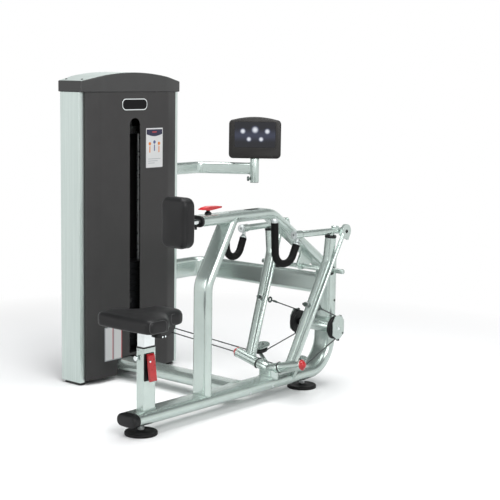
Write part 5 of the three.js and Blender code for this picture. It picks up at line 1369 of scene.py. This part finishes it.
def shroud_shell(inset=0):
    x0, x1 = shroud_front + inset, shroud_rear - inset
    root, shoulder, face = TOWER_NEAR_Y + 4, TOWER_NEAR_Y - 15 + inset, SHROUD_FACE + inset
    corner = CORNER_RADIUS - inset
    bend = [(x0, root, 0), (x0, shoulder, corner), (x0 + SHROUD_CHAMFER, face, FOLD_RADIUS)]
    bend += [(x1 - SHROUD_CHAMFER, face, FOLD_RADIUS), (x1, shoulder, corner), (x1, root, 0)]
    return [p for i, p in enumerate(rounded_corners(bend, 6)) if i % 7 == 0 or 7 <= i < 35]


shell_plan = shroud_shell(SHROUD_SHEET) + shroud_shell()[::-1]
shell = slab(shell_plan, TOWER_TOP - 0.3 - SHROUD_FOOT, at(0, 0, SHROUD_FOOT), X, Y)
half_slot = SLOT_WIDTH / 2
slot_outline = [(half_slot, SLOT_FOOT), (half_slot, SLOT_TOP - half_slot)]
slot_outline += arc_points(half_slot, 0, math.pi, 24, 0, SLOT_TOP - half_slot) + [(-half_slot, SLOT_FOOT)]
slot_cut = slab(slot_outline, 50, at(stack_x, 840, 0), X, Z)
exit_cut = slab(oval(40, 84), 50, at(RISE_X - float_wrap, 840, 236), X, Z)
notch_cut = box(CROSS_X - 66, CROSS_X + 66, 790, 840, 0, 116)
shroud = Piece("shroud_sheet").add(shell, shroud_grey).place("frame", "shroud_grey", ["shroud_user_side"])
carve(shroud, slot_cut, exit_cut, notch_cut)
shroud.data.set_sharp_from_angle(angle=math.radians(30))
soften(shroud, 0.9)

far_points = [at(p.x, TOWER_NEAR_Y + TOWER_FAR_Y - p.y, p.z) for p in shell[0]]
back = Piece("shroud_back_sheet").add((far_points, [tuple(reversed(f)) for f in shell[1]]), shroud_grey)
back.place("frame", "shroud_grey", ["shroud_far_side"], edge=0.9)

# %% [markdown]
# The cap is one moulding with an arched top. A pale metallic sheet is laid over the arch.

# %% Tower cap
CAP_SIDE, CAP_CROWN, CAP_CHAMFER, CAP_SETBACK = 55, 100, 110, 20.5
half_tower = (TOWER_REAR_X - TOWER_FRONT_X) / 2
cap_rise = CAP_CROWN - CAP_SIDE
arch_radius = (half_tower**2 + cap_rise**2) / (2 * cap_rise)
arch = lambda x: TOWER_TOP + CAP_CROWN - arch_radius + math.sqrt(arch_radius**2 - (x - stack_x) ** 2)
chamfered = lambda x: max(0, (abs(x - stack_x) - half_tower + CAP_CHAMFER) / CAP_CHAMFER)
cap_near = lambda x: SHROUD_FACE + CAP_SETBACK * chamfered(x)
cap_far = lambda x: TOWER_NEAR_Y + TOWER_FAR_Y - cap_near(x)
inner_x, inner_run = TOWER_FRONT_X + CAP_CHAMFER, 2 * half_tower - 2 * CAP_CHAMFER
stations_x = [TOWER_FRONT_X, inner_x, *[inner_x + inner_run * k / 20 for k in range(1, 20)]]
stations_x += [TOWER_REAR_X - CAP_CHAMFER, TOWER_REAR_X]
foot_z = TOWER_TOP + 0.3


def cap_ring(x, margin, low, high):
    """The four corners of a section of the cap, drawn in by a margin."""
    near, far = cap_near(x) + margin, cap_far(x) - margin
    return [at(x, near, low), at(x, near, high), at(x, far, high), at(x, far, low)]


cap = Piece("tower_cap_moulding").add(loft([cap_ring(x, 0, foot_z, arch(x)) for x in stations_x]), cap_grey)
cap.place("frame", "cap_grey", ["tower_cap"], edge=4, edge_steps=4)
SKIN_MARGIN, SKIN_HALF = 6, 1
skin_x = [TOWER_FRONT_X + 5] + stations_x[1:-1] + [TOWER_REAR_X - 5]
skin_rings = [cap_ring(x, SKIN_MARGIN, arch(x) - SKIN_HALF, arch(x) + SKIN_HALF) for x in skin_x]
cap_skin = Piece("tower_cap_skin").add(loft(skin_rings), aluminium)
for x in (TOWER_FRONT_X + 32, TOWER_REAR_X - 32):
    for y in (TOWER_NEAR_Y + 12, TOWER_FAR_Y - 12):
        slope = at((x - stack_x) / arch_radius, 0, 1).normalized()
        cap_skin.add(button(at(x, y, arch(x) + 0.6), slope, 6, 2.6, 2.2), nylon)
cap_skin.place("frame", "cap_grey", edge=0.6)

# %% [markdown]
# The badge and the placards on the shroud are plain: a blank plate with a bright rim, and panels of flat
# colour fields. Each field is a thin film that stands a little over the one beneath.

# %% Badge and placards
def film(name, hex_colour, rough=0.4, level=0.5):
    """A plain printed film: one colour, with the faint unevenness of ink."""
    shader = {"Roughness": rough, "IOR": 1.5, "Specular IOR Level": level}
    return finish(name, hex_colour, hex_colour, patch=40, grain=2, depth=0.01, shader=shader)


film_pale = film("printed_pale_film", "#dcdcdc")
film_navy = film("printed_navy_film", "#23233f")
film_orange = film("printed_orange_film", "#e0853a")
film_blue = film("printed_blue_film", "#56618f")
film_red = film("printed_red_film", "#b8434a")
film_grey = film("printed_grey_film", "#a9acaf")
film_black = film("enamelled_badge", "#08080a", 0.35, 0.15)


def label(piece, outline, x, z, level, material, thick=0.5):
    """A flat shape on the shroud's face, as many films up as its level."""
    foot = at(x, SHROUD_FACE - thick * level, z)
    piece.add(slab(outline, thick, foot, X, Z), material)


BADGE_PLACE, BADGE_THICK = (742, 1437), 1.2
PLACARD_X, PLACARD_LIFT, LOWER_X, LOWER_LIFT = 887, 1208, 588.5, 200.5
badge = Piece("badge_plate")
label(badge, rounded(180, 60, 26, 0, 12), *BADGE_PLACE, 1, chrome, BADGE_THICK)
label(badge, rounded(170, 50, 22, 0, 12), *BADGE_PLACE, 2, film_black, BADGE_THICK)
badge.place("frame", "cap_grey", edge=0.4)

placard = Piece("upper_placard")
label(placard, rounded(124, 208, 5), PLACARD_X, PLACARD_LIFT, 1, film_pale)
header = [(58, 97), (-58, 97), (-58, 72)]
header += [(-58 + 116 * k / 16, 72 - 11 * math.sin(math.pi * k / 16)) for k in range(1, 16)] + [(58, 72)]
label(placard, header, PLACARD_X, PLACARD_LIFT, 2, film_navy)
label(placard, rounded(34, 6, 3), PLACARD_X, PLACARD_LIFT + 83, 3, film_red)
for x, z, colour in ((-34, 22, film_orange), (34, 22, film_orange), (0, 30, film_blue)):
    label(placard, ring(9, 24), PLACARD_X + x, PLACARD_LIFT + z, 2, colour)
    label(placard, rounded(7, 34, 3), PLACARD_X + x, PLACARD_LIFT + z - 30, 2, colour)
for k in range(3):
    label(placard, rounded(92 - 22 * k, 3, 1.5), PLACARD_X - 11 * k, PLACARD_LIFT - 58 - 11 * k, 2, film_grey)
placard.place("frame", "shroud_grey")

lower = Piece("lower_placard")
label(lower, rounded(123, 179, 4), LOWER_X, LOWER_LIFT, 1, film_grey)
for x in (-31, 31):
    label(lower, rounded(50, 168, 2), LOWER_X + x, LOWER_LIFT, 2, film_pale)
for x in (-3.5, 59):
    label(lower, rounded(5, 172, 1), LOWER_X + x, LOWER_LIFT, 3, film_red)
lower.place("frame", "shroud_grey")

# %% [markdown]
# ## Console
# A short mast on a bent boom carries a display. Its housing is a two-part moulding with a soft edge and a
# sunk glass.

# %% Console boom
MAST_X, MAST_Y, MAST_RADIUS, MAST_FOOT, BOOM_LIFT = 1498, 620, 25, 1000, 1078
BOOM_KNEE_X, BOOM_DEPTH, BOOM_HEIGHT, BOOM_BEND = 1330, 32, 65, 60
CONSOLE_FOOT, CONSOLE_WIDTH, CONSOLE_HEIGHT, CONSOLE_DEPTH, KNOB_LIFT = 1135, 289, 230, 40, 1022
mast_at = lambda z: at(MAST_X, MAST_Y, z)
boom_start = at(TOWER_REAR_X + 0.3, BOOM_STUB_Y, BOOM_LIFT)
boom_knee = at(BOOM_KNEE_X, BOOM_STUB_Y, BOOM_LIFT)
boom_route = bent([boom_start, boom_knee, mast_at(BOOM_LIFT)], BOOM_BEND)
boom = Piece("console_boom_tube").add(sweep(oval(BOOM_DEPTH, BOOM_HEIGHT), boom_route, Z), silver_paint)
boom.add(rod(mast_at(MAST_FOOT + 2), mast_at(CONSOLE_FOOT - 0.3), MAST_RADIUS, 1.5), silver_paint)
boom.add(rod(mast_at(MAST_FOOT), mast_at(MAST_FOOT + 8), MAST_RADIUS - 1, 2), nylon)
mast_run = (mast_at(0) - at(BOOM_KNEE_X, BOOM_STUB_Y, 0)).normalized()
boom_skin = oval(BOOM_DEPTH, BOOM_HEIGHT, 0.8, 16)
boom.add(bead(weld_on_tube(boom_skin, mast_at(BOOM_LIFT), -mast_run, Z, mast_at(0), Z, MAST_RADIUS)), weld)
knob_way = at(-0.77, 0.64, 0)
knob = [(0, 0), (6, 0), (6, 5), (12, 6), (13, 8), (13, 15), (11, 17), (0, 17.5)]
boom.add(turned(knob, mast_at(KNOB_LIFT) + knob_way * 24, knob_way, 32), dark_steel)
boom.place("frame", "silver_paint", ["console_boom"])

# %% Console housing
CONSOLE_TURN, SCREEN_LIFT = math.radians(220.5), 132
facing = at(math.cos(CONSOLE_TURN), math.sin(CONSOLE_TURN), 0)
console_right = Z.cross(facing)
console_back = mast_at(CONSOLE_FOOT) - facing * CONSOLE_DEPTH / 2
face_half, face_corner, face_arch = CONSOLE_WIDTH / 2, 24, 16
shoulder = CONSOLE_HEIGHT - face_arch
corner_x, corner_low, corner_high = face_half - face_corner, face_corner, shoulder - face_corner
top_line = [corner_x * (1 - 2 * k / 20) for k in range(1, 20)]
console_corner = lambda x, y, first: arc_points(face_corner, first, math.pi / 2, 8, x, y)
console_face = console_corner(corner_x, corner_low, -math.pi / 2) + console_corner(corner_x, corner_high, 0)
console_face += [(x, shoulder + face_arch * (1 - (x / corner_x) ** 2)) for x in top_line]
console_face += console_corner(-corner_x, corner_high, math.pi / 2)
console_face += console_corner(-corner_x, corner_low, math.pi)


def console_ring(inset, depth):
    return [
        console_back + facing * depth + console_right * x + Z * y for x, y in drawn_in(console_face, inset)
    ]


# How far the housing is drawn in, and at what depth from its back. The groove at 17 mm is where its halves
# meet.
shell_levels = [(9, 0), (3, 1.5), (0.4, 6), (0, 11), (0, 16), (1.2, 17), (1.2, 18), (0, 19), (0, 31)]
shell_levels += [(0.8, 35.5), (3.2, 38.6), (7, CONSOLE_DEPTH)]
housing = Piece("console_shell").add(loft([console_ring(*level) for level in shell_levels]), casing)
screen_middle = console_back + facing * CONSOLE_DEPTH + Z * SCREEN_LIFT
housing = housing.place("console", "nylon", ["console_housing"], sharp=50)
pocket = slab(rounded(228, 142, 7), 6, screen_middle - facing * 3, console_right, Z)
carve(housing, pocket)
housing.data.set_sharp_from_angle(angle=math.radians(40))

# %% [markdown]
# The display's picture is made of soft round lights over a faint band, each a distance turned into a glow.
# They sit in the glass's own UV square, which runs from 0 to 1 across it.

# %% Screen
glass = bare_material("display_glass")
flat = put(glass, "ShaderNodeTexCoord").outputs["UV"]
SCREEN_WIDTH, SCREEN_HEIGHT = 226, 140
tall = SCREEN_HEIGHT / SCREEN_WIDTH
lights = [(0.2, 0.64, 0.1), (0.5, 0.7, 0.13), (0.8, 0.64, 0.1), (0.35, 0.32, 0.09), (0.65, 0.32, 0.09)]
glow = None
for u, v, size in lights:
    shift = {"Location": (-u, -v * SCREEN_HEIGHT / SCREEN_WIDTH, 0), "Scale": (1, tall, 1)}
    moved = put(glass, "ShaderNodeMapping", {"Vector": flat}, shift).outputs["Vector"]
    off = put(glass, "ShaderNodeVectorMath", {0: moved}, operation="LENGTH").outputs["Value"]
    near = {"From Min": size, "From Max": 0.0}
    lamp = put(glass, "ShaderNodeMapRange", {"Value": off}, near, interpolation_type="SMOOTHERSTEP")
    lamp = lamp.outputs["Result"]
    if glow is not None:
        lamp = put(glass, "ShaderNodeMath", {0: glow, 1: lamp}, operation="ADD").outputs["Value"]
    glow = lamp
parts = put(glass, "ShaderNodeSeparateXYZ", {"Vector": flat}).outputs
height = put(glass, "ShaderNodeMath", {0: parts["Y"]}, {1: 0.48}, operation="SUBTRACT").outputs["Value"]
height = put(glass, "ShaderNodeMath", {0: height}, operation="ABSOLUTE").outputs["Value"]
faint = {"From Min": 0.3, "From Max": 0.0, "To Max": 0.16}
band = put(glass, "ShaderNodeMapRange", {"Value": height}, faint, interpolation_type="SMOOTHSTEP")
band = band.outputs["Result"]
light = put(glass, "ShaderNodeMath", {0: glow, 1: band}, operation="ADD").outputs["Value"]
tint = put(glass, "ShaderNodeValToRGB", {"Fac": light})
tint.color_ramp.elements[0].color, tint.color_ramp.elements[1].color = linear("#0a0c16"), linear("#e8ecf4")
tint.color_ramp.elements.new(0.25).color = linear("#3a4058")
glass_values = {"Base Color": linear("#05060a"), "Roughness": 0.12, "IOR": 1.5, "Emission Strength": 0.9}
shine = put(glass, "ShaderNodeBsdfPrincipled", {"Emission Color": tint.outputs["Color"]}, glass_values)
put(glass, "ShaderNodeOutputMaterial", {"Surface": shine.outputs["BSDF"]})

pane_foot = screen_middle - facing * 2.4
pane = Piece("display_pane").add(
    slab(rounded(SCREEN_WIDTH, SCREEN_HEIGHT, 6), 2.1, pane_foot, console_right, Z), glass
)
pane = pane.place("console", "screen_glass", ["screen"])
square = pane.data.uv_layers.new(name="picture")
for loop in pane.data.loops:
    away = pane.data.vertices[loop.vertex_index].co / MM - pane_foot
    square.data[loop.index].uv = (away.dot(console_right) / SCREEN_WIDTH + 0.5, away.z / SCREEN_HEIGHT + 0.5)

# %% [markdown]
# ## Floor, room and lamps
# The machine stands on a plain white sweep. The floor carries the shadow and fades into the white of the
# room. What the camera sees, straight or by way of metal and glass, is told apart by Light Path. For those
# rays the paper and the room are white. All other rays meet a grey floor and a weak room, so that neither of
# them lights the machine much. The room's white dims overhead, so that metal has something darker to mirror.

# %% Floor
def seen_rays(tree):
    """One for a ray that the camera sees, straight or by way of metal or glass, and else nothing."""
    path = put(tree, "ShaderNodeLightPath").outputs
    mirrored_view = {0: path["Is Glossy Ray"], 1: path["Is Transmission Ray"]}
    mirrored_view = put(tree, "ShaderNodeMath", mirrored_view, operation="MAXIMUM").outputs["Value"]
    either = {0: path["Is Camera Ray"], 1: mirrored_view}
    return put(tree, "ShaderNodeMath", either, operation="MAXIMUM").outputs["Value"]


FLOOR_SIZE, FADE_FROM, FADE_TO = 6000, 1500, 2900
floor_place = at(760, 330, -0.4)
floor_material = bare_material("paper_sweep")
spot = put(floor_material, "ShaderNodeTexCoord").outputs["Object"]
away = put(floor_material, "ShaderNodeVectorMath", {0: spot}, operation="LENGTH").outputs["Value"]
fade_range = {"From Min": FADE_FROM * MM, "From Max": FADE_TO * MM}
fade = put(floor_material, "ShaderNodeMapRange", {"Value": away}, fade_range).outputs["Result"]
seen = seen_rays(floor_material)
fade = put(floor_material, "ShaderNodeMath", {0: fade, 1: seen}, operation="MULTIPLY").outputs["Value"]
paper = put(floor_material, "ShaderNodeBsdfDiffuse", values={"Color": linear("#fbfbfb")}).outputs["BSDF"]
dull = put(floor_material, "ShaderNodeBsdfDiffuse", values={"Color": linear("#8c8f8e")}).outputs["BSDF"]
lit = put(
    floor_material, "ShaderNodeEmission", values={"Color": (1, 1, 1, 1), "Strength": 1}
).outputs["Emission"]
shown = put(floor_material, "ShaderNodeMixShader", {0: seen, 1: dull, 2: paper}).outputs["Shader"]
swept = put(floor_material, "ShaderNodeMixShader", {0: fade, 1: shown, 2: lit}).outputs["Shader"]
put(floor_material, "ShaderNodeOutputMaterial", {"Surface": swept})
floor_shape = slab(ring(FLOOR_SIZE, 96), 1, floor_place, X, Y)
floor_mesh = bpy.data.meshes.new("floor")
floor_mesh.from_pydata([(p - floor_place) * MM for p in floor_shape[0]], [], floor_shape[1])
floor_mesh.materials.append(floor_material)
floor = bpy.data.objects.new("floor", floor_mesh)
floor.location = floor_place * MM
bpy.context.scene.collection.objects.link(floor)
print("floor", FLOOR_SIZE * 2, "mm across, white from", FADE_TO, "mm on")

# %% Room and lamps
ROOM_STRENGTH, DIM_FROM, DIM_TO = 0.26, 0.22, 0.62
world = bpy.data.worlds.new("studio")
world.use_nodes = True
world.node_tree.nodes.clear()
room_light = {"Color": (0.93, 0.97, 1, 1), "Strength": ROOM_STRENGTH}
room = put(world, "ShaderNodeBackground", values=room_light).outputs["Background"]
way = put(world, "ShaderNodeTexCoord").outputs["Generated"]
rise = put(world, "ShaderNodeSeparateXYZ", {"Vector": way}).outputs["Z"]
dimming = {"From Min": DIM_FROM, "From Max": DIM_TO}
height = put(world, "ShaderNodeMapRange", {"Value": rise}, dimming, interpolation_type="SMOOTHSTEP")
sky = put(world, "ShaderNodeValToRGB", {"Fac": height.outputs["Result"]})
sky.color_ramp.elements[0].color, sky.color_ramp.elements[1].color = (1, 1, 1, 1), linear("#3c4644")
white = put(
    world, "ShaderNodeBackground", {"Color": sky.outputs["Color"]}, {"Strength": 1}
).outputs["Background"]
behind = put(world, "ShaderNodeMixShader", {0: seen_rays(world), 1: room, 2: white}).outputs["Shader"]
put(world, "ShaderNodeOutputWorld", {"Surface": behind})
bpy.context.scene.world = world


def softbox(name, place, target, width, height, power):
    """A rectangular studio lamp that faces a target."""
    lamp_data = bpy.data.lights.new(name, "AREA")
    lamp_data.shape, lamp_data.size, lamp_data.size_y, lamp_data.energy = "RECTANGLE", width, height, power
    lamp = bpy.data.objects.new(name, lamp_data)
    lamp.location = place
    lamp.rotation_mode = "QUATERNION"
    lamp.rotation_quaternion = (Vector(target) - Vector(place)).to_track_quat("-Z", "Y")
    bpy.context.scene.collection.objects.link(lamp)
    print("lamp", name, power, "W")


softbox("key", (-1.2, -4.2, 3.4), (0.7, 0.2, 0.6), 3.4, 2.6, 190)
softbox("top", (0.8, 0.2, 4.4), (0.8, 0.2, 0.0), 4.0, 2.6, 170)
softbox("fill", (-3.8, 1.6, 2.2), (0.7, 0.3, 0.7), 1.6, 2.2, 40)
